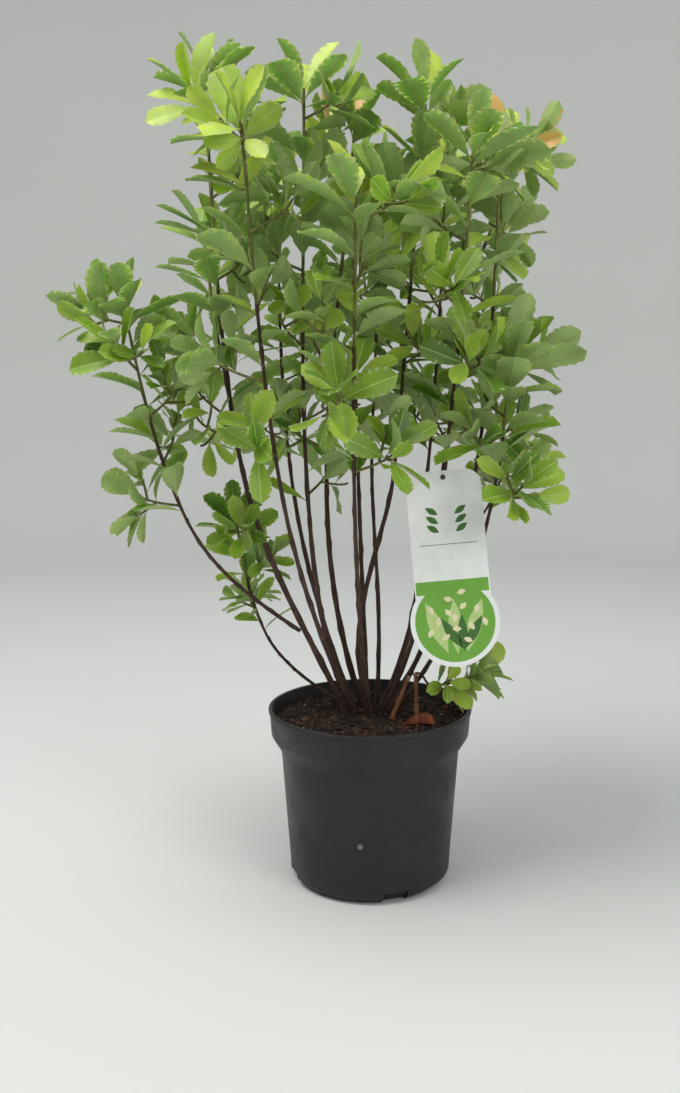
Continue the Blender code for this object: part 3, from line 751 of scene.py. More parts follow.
def limb_of(spec, limbs, fine=1):
    """Work out a stem's two curves from its named places."""
    fork = Vector(spec.fork)
    bud = Vector(spec.bud)
    lean = Vector((*spec.lean, 1.0)).normalized()
    foot_radius = spec.width / 2
    fork_radius = foot_radius * FORK_SHARE + FORK_EXTRA
    if spec.parent:
        foot = beside(limbs[spec.parent], spec.foot[0], lean, foot_radius)
    else:
        foot = Vector((*spec.foot, STAND))
    shoot_way = (bud - fork).normalized()
    way = ((fork - foot).normalized() + shoot_way * FORK_TURN).normalized()
    span = (fork - foot).length
    height = (bud - fork).length
    last = shoot_way.lerp(UP, BUD_UPRIGHT)
    half_gap = way * GAP / 2
    bare = smooth_line(foot, lean * span * FOOT_PULL, fork - half_gap, way * span * FORK_PULL,
                       STEM_RINGS * fine)
    shoot = smooth_line(fork + half_gap, way * height, bud, last * height,
                        SHOOT_RINGS * fine)
    bare_radii = taper(foot_radius, fork_radius, len(bare))
    if not spec.parent:
        bare_radii[0] *= BUTT_SWELL
    shoot_radii = taper(fork_radius, SHOOT_TIP_RADIUS, len(shoot))
    return Limb(spec, bare, bare_radii, shoot, shoot_radii, way)


def beside(parent, height, lean, radius):
    """Place beside a parent stem where a limb that leaves along lean is seated a gap from it."""
    steps = zip(parent.bare, parent.bare[1:])
    low, high = next((low, high) for low, high in steps if low.z <= height <= high.z)
    point = low.lerp(high, (height - low.z) / (high.z - low.z))
    out = across((high - low).normalized(), lean)
    surface = parent.bare_solid().tree()
    side = across(lean) * radius
    turns = [math.tau * step / SEAT_POINTS for step in range(SEAT_POINTS)]
    edge = [Quaternion(lean, turn) @ side for turn in turns]
    distance = parent.spec.width / 2 + radius + 2 * GAP
    while min(surface.find_nearest(point + out * distance + way)[3] for way in edge) > GAP:
        distance -= SEAT_STEP
    return point + out * distance


def bark_shape(points, seed, sides, depth):
    """Relief of a stem: uneven lengthwise ridges, and knots at random such as leaves leave."""
    knots = {}
    rng = random.Random(seed)
    ring = rng.randrange(2, 5)
    while ring < len(points):
        knots[ring] = rng.randrange(sides)
        ring += rng.randrange(3, 7)

    def shape(ring, corner):
        point = points[ring] * 190.0 + Vector((seed * 3.1, corner * 0.9, 0))
        share = 1.0 + depth * noise.noise(Vector((point.x, point.y, point.z * 0.35)))
        for near in (ring - 1, ring, ring + 1):
            if near in knots:
                share += KNOT_NEAR if near != ring else KNOT
                turn = abs((corner - knots[near] + sides / 2) % sides - sides / 2)
                if near == ring and turn <= 1:
                    share += KNOT_SCAR
        return share

    return shape


def distance_to(points, place):
    """Distance from a place to the line through the points."""
    best = math.inf
    for low, high in zip(points, points[1:]):
        near, share = intersect_point_line(place, low, high)
        near = low if share < 0 else high if share > 1 else near
        best = min(best, (place - near).length)
    return best


class Leaf(NamedTuple):
    """Where a leaf stands, its size and how it bends."""

    root: Vector
    along: Vector
    face: Vector
    length: float
    width: float
    fold: float
    droop: float
    twist: float
    wave: float
    phase: float
    tint: str


def leaf_stations():
    """Places along a leaf, and its half width there for a width of 1, with teeth past a third."""
    along = [0.0, 0.04, STALK]
    half = [0.013, 0.011, 0.020]
    peak = 0.0
    for step in range(1, STATIONS + 1):
        u = step / STATIONS
        blade = u**1.12 * (1 - u) ** 0.62
        peak = max(peak, blade)
        along.append(STALK + (1 - STALK) * u)
        half.append(blade)
    for index in range(3, len(half)):
        u = (index - 2) / STATIONS
        half[index] = half[index] / peak / 2
        if TEETH_FROM < u < TEETH_TO:
            tooth = index % 2
            half[index] *= TOOTH_OUT if tooth else NOTCH_IN
            along[index] += TOOTH_LEAN if tooth else 0.0
    half[-1] = 0.006
    return np.array(along), np.array(half)


def leaf_points(leaves):
    """Corners of all the leaves: for each, a top grid of 6 columns and an under one of 4."""
    v, half = leaf_stations()
    rows = len(v)

    def values(name):
        return np.array([getattr(leaf, name) for leaf in leaves], float)[:, None, None]

    width, fold, droop = values("width"), values("fold"), values("droop")
    twist, wave, phase, length = values("twist"), values("wave"), values("phase"), values("length")
    rib = np.minimum(RIB, half * 0.6)
    middle = (half + rib) / 2
    x = np.stack([-half, -middle, -rib, rib, middle, half], 1)[None]
    x = np.where(np.abs(x) > RIB * 1.01, x * width, x)
    edge = np.abs(x) / WIDEST
    row = v[None, :, None]
    pleat = np.where(np.arange(rows) % 2 == 0, 1.0, -1.0)[None, :, None]
    ridge = np.array([0, 1, 0, 0, 1, 0])[None, None, :]
    swing = np.sin(row * WAVE_TURN + phase + np.sign(x) * WAVE_SHIFT)
    z = fold * np.abs(x) + wave * swing * edge**2
    z = z + pleat * ridge * PLEAT * np.minimum(1.0, half / 0.15)[None, :, None]
    z = z - 0.10 * edge**2 * np.abs(x) * 0.6
    angle = twist * row
    x, z = x * np.cos(angle) - z * np.sin(angle), x * np.sin(angle) + z * np.cos(angle)
    bend = np.where(np.abs(droop) < 1e-4, 1e-4, droop)
    turn = bend * row
    up_y, up_z = np.sin(turn), np.cos(turn)

    def bent(x, z):
        y = np.sin(turn) / bend + z * up_y
        return np.stack([x, y + 0 * x, -(1 - np.cos(turn)) / bend + z * up_z], -1)

    thick = [0.0, BLADE_THICKNESS, RIB_THICKNESS, RIB_THICKNESS, BLADE_THICKNESS, 0.0]
    thick = np.array(thick)[None, None, :]
    thick = thick * np.where(row < 0.06, 2.2, 1.0) + 0 * z
    top = bent(x, z)
    under = bent(x, z - thick)[:, :, 1:5]
    local = np.concatenate([top, under], 2).reshape(len(leaves), -1, 3)
    roots = np.array([leaf.root for leaf in leaves])[:, None]
    axes = np.array([(leaf.along.cross(leaf.face), leaf.along, leaf.face) for leaf in leaves])
    return roots + length * np.einsum("lpi,lij->lpj", local, axes)


def leaf_faces():
    """Quads and triangles of one leaf, with slots: 0 top, 1 rib and stalk, 2 underside."""
    rows = len(leaf_stations()[0])
    quads, slots = [], []
    for row in range(rows - 1):
        a, b = row * 10, (row + 1) * 10
        under = [a, a + 6, a + 7, a + 8, a + 9, a + 5]
        beyond = [b, b + 6, b + 7, b + 8, b + 9, b + 5]
        for column in range(5):
            quads.append((a + column, a + column + 1, b + column + 1, b + column))
            slots.append(1 if row < 2 or column == 2 else 0)
        for column in range(5):
            quads.append((under[column + 1], under[column], beyond[column], beyond[column + 1]))
            slots.append(1 if row < 2 or column == 2 else 2)
    tris = []
    for a, way in ((0, 1), ((rows - 1) * 10, -1)):
        under = [a, a + 6, a + 7, a + 8, a + 9, a + 5]
        tris.append((a, under[1], a + 1)[::way])
        tris.append((a + 5, a + 4, under[4])[::way])
        for column in range(1, 4):
            quads.append((a + column, under[column], under[column + 1], a + column + 1)[::way])
            slots.append(1)
    return np.array(quads), np.array(tris), slots, [1] * len(tris)


class Crown:
    """Everything grown so far, so that each new piece keeps clear of it."""

    def __init__(self, limbs, fixed):
        self.limbs = limbs
        self.taken = [(None, solid.tree()) for solid in fixed]
        for name, limb in limbs.items():
            self.add(name, limb.shoot_solid(CLEARANCE))

    def add(self, owner, solid):
        self.taken.append((owner, solid.tree()))

    def keeps_space(self, owner, place):
        """True where a place lies in the owner's space, or strays from it only a little."""
        own = distance_to(self.limbs[owner].shoot, place) - STRAY
        others = (limb for name, limb in self.limbs.items() if name != owner)
        return all(distance_to(limb.shoot, place) >= own for limb in others)

    def is_clear(self, owner, tree):
        """True if the shape meets nothing but pieces of its owner."""
        return not any(tree.overlap(taken) for name, taken in self.taken if name != owner)


class Mass:
    """One mass of foliage: its shoot, twigs and leaves, grown by the seeded rule."""

    def __init__(self, crown, limb, seed):
        self.crown = crown
        self.limb = limb
        self.rng = random.Random(seed)
        self.solids = [limb.shoot_solid()]
        self.sisters = [self.solids[0].tree()]
        self.looks = random.Random(seed + 1000)
        self.leaves = []
        self.twigs = []

    def fits(self, swollen, free, tip):
        """True if a piece keeps to the mass's space and touches no limb, mass or sister."""
        name = self.limb.spec.name
        if not self.crown.keeps_space(name, tip):
            return False
        free_tree = free.tree()
        if any(free_tree.overlap(sister) for sister in self.sisters):
            return False
        return self.crown.is_clear(name, swollen.tree())

    def keep(self, solid, free):
        self.solids.append(solid)
        self.sisters.append(free.tree())

    def leaf(self, place, way, turn, pitch, length, radius):
        """Set one leaf on a limb: turned about the limb and pitched off it, or skip it."""
        rng = self.rng
        for attempt in range(LEAF_TRIES):
            out = Quaternion(way, turn + attempt * LEAF_TURN) @ across(way)
            tilt = pitch + rng.uniform(-LEAF_TILT, LEAF_TILT)
            along = mix(way, out, (math.cos(tilt), math.sin(tilt)))
            roll = Quaternion(along, rng.uniform(-LEAF_ROLL, LEAF_ROLL))
            face = roll @ across(along, way)
            size = length * rng.uniform(*LEAF_SIZES)
            root = place - along * radius * LEAF_SINK
            solid = blade(root, along, face, size)
            swollen = blade(root, along, face, size, swell=CLEARANCE)
            free = blade(root, along, face, size, start=LEAF_FREE_FROM)
            if self.fits(swollen, free, solid.corners[-1]):
                self.keep(solid, free)
                self.leaves.append(self.look(root, along, face, size, pitch))
                return

    def rosette(self, place, way, count, length, radius):
        """Leaves crowded round a bud."""
        turn = self.rng.uniform(0, math.tau)
        for index in range(count):
            share = index / (count - 1)
            pitch = ROSETTE_OUTER + (ROSETTE_INNER - ROSETTE_OUTER) * share
            back = place - way * (ROSETTE_DEPTH * (1 - share) + ROSETTE_TOP)
            self.leaf(back, way, turn, pitch, length * (1.0 - ROSETTE_SHRINK * share), radius)
            turn += GOLDEN_ANGLE

    def twig(self, place, way, turn, reach, length, shoot_radius):
        """Side twig that leaves the shoot, curves up and ends in a rosette."""
        out = Quaternion(way, turn) @ across(way)
        end = place + mix(way, out, TWIG_END) * reach
        first = mix(way, out, TWIG_FIRST)
        root = place - first * shoot_radius * TWIG_SINK
        points = smooth_line(root, first * reach, end, mix(way, out, TWIG_LAST) * reach, TWIG_RINGS)
        radii = taper(TWIG_RADIUS, TWIG_TIP_RADIUS, len(points))
        swollen = tube(points, [radius + CLEARANCE for radius in radii], TWIG_SIDES)
        free_points = [points[0].lerp(points[1], 2 * LEAF_FREE_FROM)] + points[1:]
        free = tube(free_points, radii, TWIG_SIDES)
        if not self.fits(swollen, free, end):
            return False
        self.keep(tube(points, radii, TWIG_SIDES), free)
        self.twigs.append((root, first * reach, end, mix(way, out, TWIG_LAST) * reach, radii))
        tip_way = directions(points)[-1]
        self.rosette(end, tip_way, TWIG_ROSETTE, length, TWIG_TIP_RADIUS)
        turn = self.rng.uniform(0, math.tau)
        self.leaf(points[1], tip_way, turn, LEAF_PITCH, length * TWIG_LEAF_SHARE, TWIG_RADIUS)
        return True

    def grow(self):
        """Twigs and leaves take turns up the shoot, and a rosette ends it."""
        spec = self.limb.spec
        rng = self.rng
        turn = rng.uniform(0, math.tau)
        stops = 2 * spec.twigs + 1
        for stop in range(stops):
            share = (stop + FIRST_STOP) / (stops + LAST_STOP)
            place, way, radius = self.limb.at(share)
            turn += GOLDEN_ANGLE
            size = spec.leaf * (LEAF_LOW_SHARE + (1 - LEAF_LOW_SHARE) * share)
            if stop % 2:
                self.leaf(place, way, turn, LEAF_PITCH, size, radius)
                continue
            reach = spec.reach * rng.uniform(*TWIG_LENGTHS) * (1 - TWIG_SHORTER_UP * share**2)
            for attempt in range(TWIG_TRIES):
                if self.twig(place, way, turn + attempt * TWIG_TURN, reach, size, radius):
                    break
        bud, way, radius = self.limb.at(1.0)
        self.rosette(bud, way, BUD_ROSETTE, spec.leaf, radius)
        for solid in self.solids:
            self.crown.add(spec.name, solid)

    def look(self, root, along, face, size, pitch):
        """Bends and tint of a leaf, drawn apart so that the rule's own draws stay the same."""
        draw = self.looks.uniform
        inner = pitch < INNER_PITCH
        return Leaf(root, along, face, size, LEAF_WIDTH_RATIO * draw(*WIDTHS), draw(*FOLDS),
                    draw(*DROOPS), draw(*TWISTS), draw(*WAVES), draw(0, math.tau),
                    self.tint_at(root.z, inner))

    def tint_at(self, height, inner):
        """Tint of a leaf, drawn at random: younger towards the top and the bud; low down some take
        the shade tint, a darker green that is partly painted shade.
        """
        draw = self.looks.random()
        if inner and height > BRONZE_FROM and draw < 0.3:
            return "bronze"
        if height > YOUNG_FROM:
            return "young" if inner or draw < 0.5 else "fresh"
        if height > SHADE_TO:
            return "young" if inner and draw < 0.5 else "fresh" if draw < 0.55 else "mature"
        return "fresh" if draw < (0.5 if inner else 0.28) else "mature" if draw < 0.8 else "shade"

    def grow_fine(self, extra):
        """Finer twigs and leaves between those of the rule, within the same reach."""
        spec = self.limb.spec
        first = len(self.solids)
        turn = self.rng.uniform(0, math.tau)
        for root, pull, end, last, radii in list(self.twigs):
            points = smooth_line(root, pull, end, last, TWIG_RINGS)
            ways = directions(points)
            length = spec.leaf * FINE_LEAF_SHARE
            for step in range(FINE_TWIGS):
                turn += GOLDEN_ANGLE
                self.twig(points[1].lerp(points[2], step * FINE_TWIG_STEP), ways[1], turn,
                          spec.reach * FINE_TWIG_SHARE, length, radii[1])
            self.rosette(end, ways[-1], FINE_ROSETTE, length * FINE_ROSETTE_SWELL, radii[-1])
        for step in range(SHOOT_LEAVES * extra):
            turn += GOLDEN_ANGLE
            share = (step + 0.5) / (SHOOT_LEAVES * extra)
            place, way, radius = self.limb.at(share)
            self.leaf(place, way, turn, LEAF_PITCH, spec.leaf * SHOOT_LEAF_SHARE, radius)
        for solid in self.solids[first:]:
            self.crown.add(spec.name, solid)


def label_plate():
    """The label's plate as a solid, for what grows near it."""
    corners = []
    for depth in (-LABEL_THICKNESS / 2, LABEL_THICKNESS / 2):
        for x, z in label_outline():
            corner = Vector((x, depth, z + LABEL_HOLE_DROP))
            corners.append(Matrix.Rotation(-LABEL_LEAN, 3, "Y") @ corner + LABEL_HOLE)
    count = len(corners) // 2
    faces = [tuple(range(count)), tuple(range(count, 2 * count))]
    faces += [(i, (i + 1) % count, (i + 1) % count + count, i + count) for i in range(count)]
    return Solid(corners, faces)


def label_twig_ends(limb):
    """Both ends of the twig that leaves its stem and passes high through the label's hole."""
    over = LABEL_HOLE + UP * (LABEL_HOLE_RADIUS - LABEL_TWIG_RADIUS - GAP)
    foot = beside(limb, over.z - LABEL_TWIG_RISE, LABEL_TWIG_LEAN, LABEL_TWIG_RADIUS)
    return foot, over + LABEL_TWIG_PAST_HOLE


def label_twig(limb):
    """The label's twig as a solid."""
    foot, end = label_twig_ends(limb)
    points = [foot, foot.lerp(end, 0.5), end]
    radii = taper(LABEL_TWIG_RADIUS, LABEL_TWIG_TIP_RADIUS, len(points))
    return tube(points, radii, STEM_SIDES, LABEL_TWIG_LEAN)


def stub(foot, cut):
    """Short dead stub that stands on the soil."""
    points = [foot, foot.lerp(cut, 0.5), cut]
    return tube(points, taper(STUB_RADIUS, STUB_END_RADIUS, len(points)), STEM_SIDES, UP)


def dead_leaf():
    """Fallen leaf propped on the soil."""
    along = (DEAD_LEAF_TIP - DEAD_LEAF_ROOT).normalized()
    length = (DEAD_LEAF_TIP - DEAD_LEAF_ROOT).length
    return blade(DEAD_LEAF_ROOT, along, across(along, DEAD_LEAF_FACE), length)


def all_limbs():
    """Every stem's limb by name."""
    limbs = {}
    for spec in STEMS:
        limbs[spec.name] = limb_of(spec, limbs)
    return limbs


class SUMMERSWEET_OT_stems(bpy.types.Operator):
    """Bark with its relief on every stem"""

    bl_idname = "summersweet.stems"
    bl_label = "Stems"

    def execute(self, context):
        settings = context.scene.summersweet_plant
        old = bark_material("bark_young_stem", settings.bark)
        green = bark_material("bark_green_shoot", settings.shoot, 0.6)
        shoots = []
        coarse = all_limbs()
        for seed, (name, limb) in enumerate(coarse.items(), 100):
            limb = limb_of(limb.spec, coarse, FINE_RINGS)
            if not limb.spec.parent:
                limb.bare.insert(0, limb.bare[0] - UP * BURIED)
                limb.bare_radii.insert(0, limb.bare_radii[0])
            sides = 10
            shape = bark_shape(limb.bare, seed, sides, 0.16)
            body = rough_tube(limb.bare, limb.bare_radii, sides, shape)
            stem = joined("bark_" + name, [body], [old])
            place(stem, "stem_bark", "stem_" + name)
            lower = len(limb.shoot) // 2
            shape = bark_shape(limb.shoot, seed + 50, 8, 0.12)
            shoot = rough_tube(limb.shoot, limb.shoot_radii, 8, shape)
            slots = [0 if i < lower * 8 else 1 for i in range(len(shoot.faces))]
            shoots.append(Shape(shoot.corners, shoot.faces, slots))
        place(joined("shoots", shoots, [old, green]), "stem_bark")
        return {"FINISHED"}


class SUMMERSWEET_OT_foliage(bpy.types.Operator):
    """Twigs and leaves of every mass"""

    bl_idname = "summersweet.foliage"
    bl_label = "Foliage"

    def execute(self, context):
        settings = context.scene.summersweet_plant
        limbs = all_limbs()
        bark = [limb.bare_solid() for limb in limbs.values()]
        dead = [stub(*ends) for ends in STUBS.values()]
        twig = label_twig(limbs[LABEL_STEM])
        crown = Crown(limbs, [*bark, twig, *dead, dead_leaf(), label_plate()])
        masses = [Mass(crown, limb, seed) for seed, limb in enumerate(limbs.values(), FIRST_SEED)]
        for mass in masses:
            mass.grow()
        for mass in masses:
            mass.grow_fine(settings.extra_leaves)
        leaves = [leaf for mass in masses for leaf in mass.leaves]
        twigs = [rough_tube(smooth_line(*line[:4], 8), taper(line[4][0], line[4][-1], 9), 6)
                 for mass in masses for line in mass.twigs]
        green = bark_material("bark_green_twig", settings.shoot, 0.6)
        place(joined("twigs", twigs, [green]), "stem_bark")
        rib = leaf_material("leaf_rib", "#a8b866", 0.5, 0.2)
        under = leaf_material("leaf_underside", settings.under, 0.62, 0.25)
        quads, tris, quad_slots, tri_slots = leaf_faces()
        nodes = ["leaves_" + name for name in limbs]
        for tint in ("young", "fresh", "mature", "shade", "bronze"):
            chosen = [leaf for leaf in leaves if leaf.tint == tint]
            if not chosen:
                raise RuntimeError("no leaves of tint " + tint)
            points = leaf_points(chosen)
            step = points.shape[1]
            base = (np.arange(len(chosen)) * step)[:, None, None]
            faces = [(quads[None] + base).reshape(-1, 4), (tris[None] + base).reshape(-1, 3)]
            slots = quad_slots * len(chosen) + tri_slots * len(chosen)
            top = leaf_material("leaf_" + tint, getattr(settings, tint))
            obj = piece("leaves_" + tint + "_tint", points.reshape(-1, 3), faces, slots,
                        [top, rib, under], 70.0)
            place(obj, "foliage", *nodes)
        return {"FINISHED"}


def pot_profile(inset):
    """Face of the pot from the middle of its foot up to the collar, moved in by inset."""
    slope = inset * SLOPE_SHARE
    return [
        (0.0, inset),
        (FOOT_RADIUS - slope, inset),
        (WALL_FOOT_RADIUS - inset, FOOT_RISE + slope),
        (WALL_TOP_RADIUS - inset, POT_HEIGHT - SHOULDER_DEPTH + slope),
        (COLLAR_RADIUS - inset, POT_HEIGHT - COLLAR_DEPTH + slope),
    ]


def arc(middle, radius, first, last, count):
    """Points of an arc in the plane of a turned profile, angles in degrees."""
    turns = [math.radians(first + (last - first) * i / count) for i in range(count + 1)]
    return [(middle[0] + radius * math.cos(t), middle[1] + radius * math.sin(t)) for t in turns]


def turned(profile, sides):
    """Spin a profile of (radius, height) about Z; ends that lie on the axis are closed."""
    bm = bmesh.new()
    line = [bm.verts.new((radius, 0.0, height)) for radius, height in profile]
    edges = [bm.edges.new(pair) for pair in zip(line, line[1:])]
    bmesh.ops.spin(bm, geom=line + edges, cent=(0, 0, 0), axis=(0, 0, 1),
                   angle=math.tau, steps=sides, use_merge=True)
    bmesh.ops.remove_doubles(bm, verts=bm.verts, dist=0.00001)
    return bm


def block(size, middle, turn):
    """Box of a size at a distance from the axis, turned about Z."""
    bm = bmesh.new()
    bmesh.ops.create_cube(bm, size=1.0)
    bmesh.ops.scale(bm, vec=size, verts=bm.verts)
    bmesh.ops.translate(bm, vec=middle, verts=bm.verts)
    bmesh.ops.rotate(bm, cent=(0, 0, 0), matrix=Matrix.Rotation(turn, 3, "Z"), verts=bm.verts)
    return from_bmesh("cutter", bm, [])


def cut(obj, cutters):
    """Take the cutters out of the object for good."""
    for cutter in cutters:
        modifier = obj.modifiers.new("cut", "BOOLEAN")
        modifier.object = cutter
    graph = bpy.context.evaluated_depsgraph_get()
    mesh = bpy.data.meshes.new_from_object(obj.evaluated_get(graph))
    obj.modifiers.clear()
    obj.data = mesh
    mesh.shade_smooth()
    mesh.set_sharp_from_angle(angle=math.radians(35.0))
    for cutter in cutters:
        bpy.data.objects.remove(cutter)


class SUMMERSWEET_OT_pot(bpy.types.Operator):
    """Moulded pot with its collar, drain slots and gate mark"""

    bl_idname = "summersweet.pot"
    bl_label = "Pot"

    def execute(self, context):
        settings = context.scene.summersweet_pot
        top = POT_HEIGHT
        under_collar = top - COLLAR_DEPTH
        shoulder = top - SHOULDER_DEPTH
        outer = [
            (0.0, 0.0012), (FOOT_RADIUS - 0.012, 0.0012), (FOOT_RADIUS - 0.0095, 0.0),
            (FOOT_RADIUS - 0.0010, 0.0), (FOOT_RADIUS, 0.0004),
            (WALL_FOOT_RADIUS - 0.0006, FOOT_RISE - 0.0008), (WALL_FOOT_RADIUS, FOOT_RISE + 0.0006),
            (WALL_FOOT_RADIUS + 0.0006, FOOT_RISE + 0.010),
            (WALL_TOP_RADIUS - 0.0002, shoulder - 0.0020), (WALL_TOP_RADIUS + 0.0004, shoulder),
            (COLLAR_RADIUS - 0.0010, under_collar - 0.0012), (COLLAR_RADIUS, under_collar + 0.0006),
            (RIM_RADIUS - 0.0011, top - 0.0042), (RIM_RADIUS - 0.0002, top - 0.0034),
        ]
        rim = arc((RIM_RADIUS - 0.0009, top - 0.0009), 0.0009, 0, 90, 4)
        rim += arc((RIM_RADIUS - RIM_WIDTH, top - 0.0009), 0.0009, 90, 165, 4)
        inner = [
            (COLLAR_RADIUS - WALL, under_collar), (WALL_TOP_RADIUS - WALL, shoulder),
            (WALL_FOOT_RADIUS - WALL, FOOT_RISE), (FOOT_RADIUS - WALL, 0.0030), (0.0, 0.0030),
        ]
        bm = turned(outer + rim + inner, settings.sides)
        pot = from_bmesh("pot_shell", bm, [plastic_material(settings.plastic)])
        cutters = [
            block(SLOT_SIZE, Vector((SLOT_MIDDLE, 0, 0)), SLOT_FIRST + i * math.tau / SLOTS)
            for i in range(SLOTS)
        ]
        cutters.append(block(RECESS_SIZE, RECESS_PLACE, RECESS_TURN))
        cut(pot, cutters)
        place(pot, "pot_plastic", "pot")
        bm = bmesh.new()
        wide, narrow, depth = GATE_SIZE
        bmesh.ops.create_cone(bm, cap_ends=True, segments=20, radius1=wide, radius2=narrow,
                              depth=depth)
        front = -math.sqrt(GATE_WALL_RADIUS**2 - GATE_X**2) - 0.0003
        spot = Vector((GATE_X, front, GATE_HEIGHT))
        turn = (-Vector((spot.x, spot.y, 0))).to_track_quat("-Z", "Y").to_matrix().to_4x4()
        bmesh.ops.transform(bm, matrix=Matrix.Translation(spot) @ turn, verts=bm.verts)
        gate = from_bmesh("gate_mark", bm, [print_material("polypropylene_rubbed", "#6d6e6c")])
        place(gate, "pot_plastic")
        return {"FINISHED"}


def soil_height(x, y):
    """Height of the compost: level at the wall, with a flat mound where the stems stand."""
    r = math.hypot(x, y)
    share = min(1.0, max(0.0, (SOIL_RADIUS - r) / (SOIL_RADIUS - MOUND_RADIUS)))
    level = SOIL_LEVEL + (MOUND_LEVEL - SOIL_LEVEL) * share * share * (3 - 2 * share)
    return level + 0.0014 * noise.noise(Vector((x * 70, y * 70, 3.0)))


class SUMMERSWEET_OT_compost(bpy.types.Operator):
    """Compost with its bark chips and fibres"""

    bl_idname = "summersweet.compost"
    bl_label = "Compost"

    def execute(self, context):
        settings = context.scene.summersweet_pot
        rings = 26
        top = [(SOIL_RADIUS * (1 - i / rings), SOIL_LEVEL) for i in range(rings + 1)]
        wall = pot_profile(WALL + GAP)
        bm = turned(wall + top, 96)
        for vert in bm.verts:
            if vert.co.z > 0.145:
                rough = 0.0012 * noise.noise(vert.co * 420)
                vert.co.z = soil_height(vert.co.x, vert.co.y) + rough
        body = from_bmesh("compost_body", bm, [compost_material("peat", settings.compost)], 60)
        place(body, "compost", "soil")
        rng = random.Random(5)
        ball = bmesh.new()
        bmesh.ops.create_icosphere(ball, subdivisions=1, radius=0.5)
        corners = [v.co.copy() for v in ball.verts]
        faces = [tuple(v.index for v in f.verts) for f in ball.faces]
        ball.free()
        chips = []
        for _ in range(settings.chips):
            r = SOIL_RADIUS * math.sqrt(rng.random()) * 0.985
            turn = rng.uniform(0, math.tau)
            x, y = r * math.cos(turn), r * math.sin(turn)
            draw = rng.random()
            slot = 0 if draw < 0.66 else 1 if draw < 0.93 else 2
            long = rng.uniform(2.5, 9.0) * MM if slot < 2 else rng.uniform(2.0, 5.0) * MM
            size = Vector((long, long * rng.uniform(0.35, 0.7), long * rng.uniform(0.16, 0.4)))
            spin = Quaternion(UP, rng.uniform(0, math.tau))
            tip = Quaternion(Vector((1, 0, 0)), rng.gauss(0, 0.5))
            spot = Vector((x, y, soil_height(x, y) + size.z * 0.25))
            shape = []
            for corner in corners:
                rough = 1 + rng.uniform(-0.22, 0.22)
                shape.append(spot + spin @ (tip @ Vector(
                    (corner.x * size.x * rough, corner.y * size.y * rough, corner.z * size.z))))
            chips.append(Shape(shape, faces, [slot] * len(faces)))
        tones = [compost_material("bark_chip_dark", "#33251c", 1.5 * MM),
                 compost_material("bark_chip_brown", "#54382a", 1.5 * MM),
                 compost_material("wood_fibre", "#94806a", 1.5 * MM)]
        place(joined("compost_chips", chips, tones, 20.0), "compost")
        return {"FINISHED"}


def label_outline():
    """Outline of the label, with x across and z down from the top edge."""
    half = LABEL_NECK_WIDTH / 2
    corner = LABEL_SHOULDER_RADIUS
    radius = LABEL_DISC_RADIUS
    outline = []
    for step in range(9):
        turn = math.radians(90.0) * step / 8
        outline.append((half - corner + corner * math.cos(turn), corner * (math.sin(turn) - 1)))
    outline += [(-x, z) for x, z in reversed(outline)]
    meet = math.asin(half / radius)
    for step in range(61):
        turn = meet + (math.tau - 2 * meet) * step / 60
        outline.append((-radius * math.sin(turn), radius * math.cos(turn) - LABEL_TOP_TO_DISC))
    return outline


def on_label(bm):
    """Move a shape from the label's own plane to where the label hangs."""
    bmesh.ops.translate(bm, vec=(0, 0, LABEL_HOLE_DROP), verts=bm.verts)
    lean = Matrix.Rotation(-LABEL_LEAN, 3, "Y")
    bmesh.ops.rotate(bm, cent=(0, 0, 0), matrix=lean, verts=bm.verts)
    bmesh.ops.translate(bm, vec=LABEL_HOLE, verts=bm.verts)


def sheet_of(name, outline, front, back, material):
    """Flat shape of an outline (x, z) between two depths, hung with the label."""
    bm = bmesh.new()
    verts = [bm.verts.new((x, front, z)) for x, z in outline]
    grown = bmesh.ops.extrude_face_region(bm, geom=[bm.faces.new(verts)])
    far = [item for item in grown["geom"] if isinstance(item, bmesh.types.BMVert)]
    bmesh.ops.translate(bm, vec=(0, back - front, 0), verts=far)
    on_label(bm)
    return from_bmesh(name, bm, [material])


def lens(middle, length, width, turn):
    """Leaf-like outline: two arcs that meet in a point at each end."""
    outline = []
    for side in (1, -1):
        for step in range(10):
            t = step / 10
            along = (t - 0.5) * length * side
            out = math.sin(math.pi * t) * width / 2 * side
            outline.append((middle[0] + along * math.sin(turn) + out * math.cos(turn),
                            middle[1] + along * math.cos(turn) - out * math.sin(turn)))
    return outline


def bar(half_width, from_to):
    """Outline of a bar across the label."""
    high, low = from_to
    return [(half_width, high), (-half_width, high), (-half_width, low), (half_width, low)]


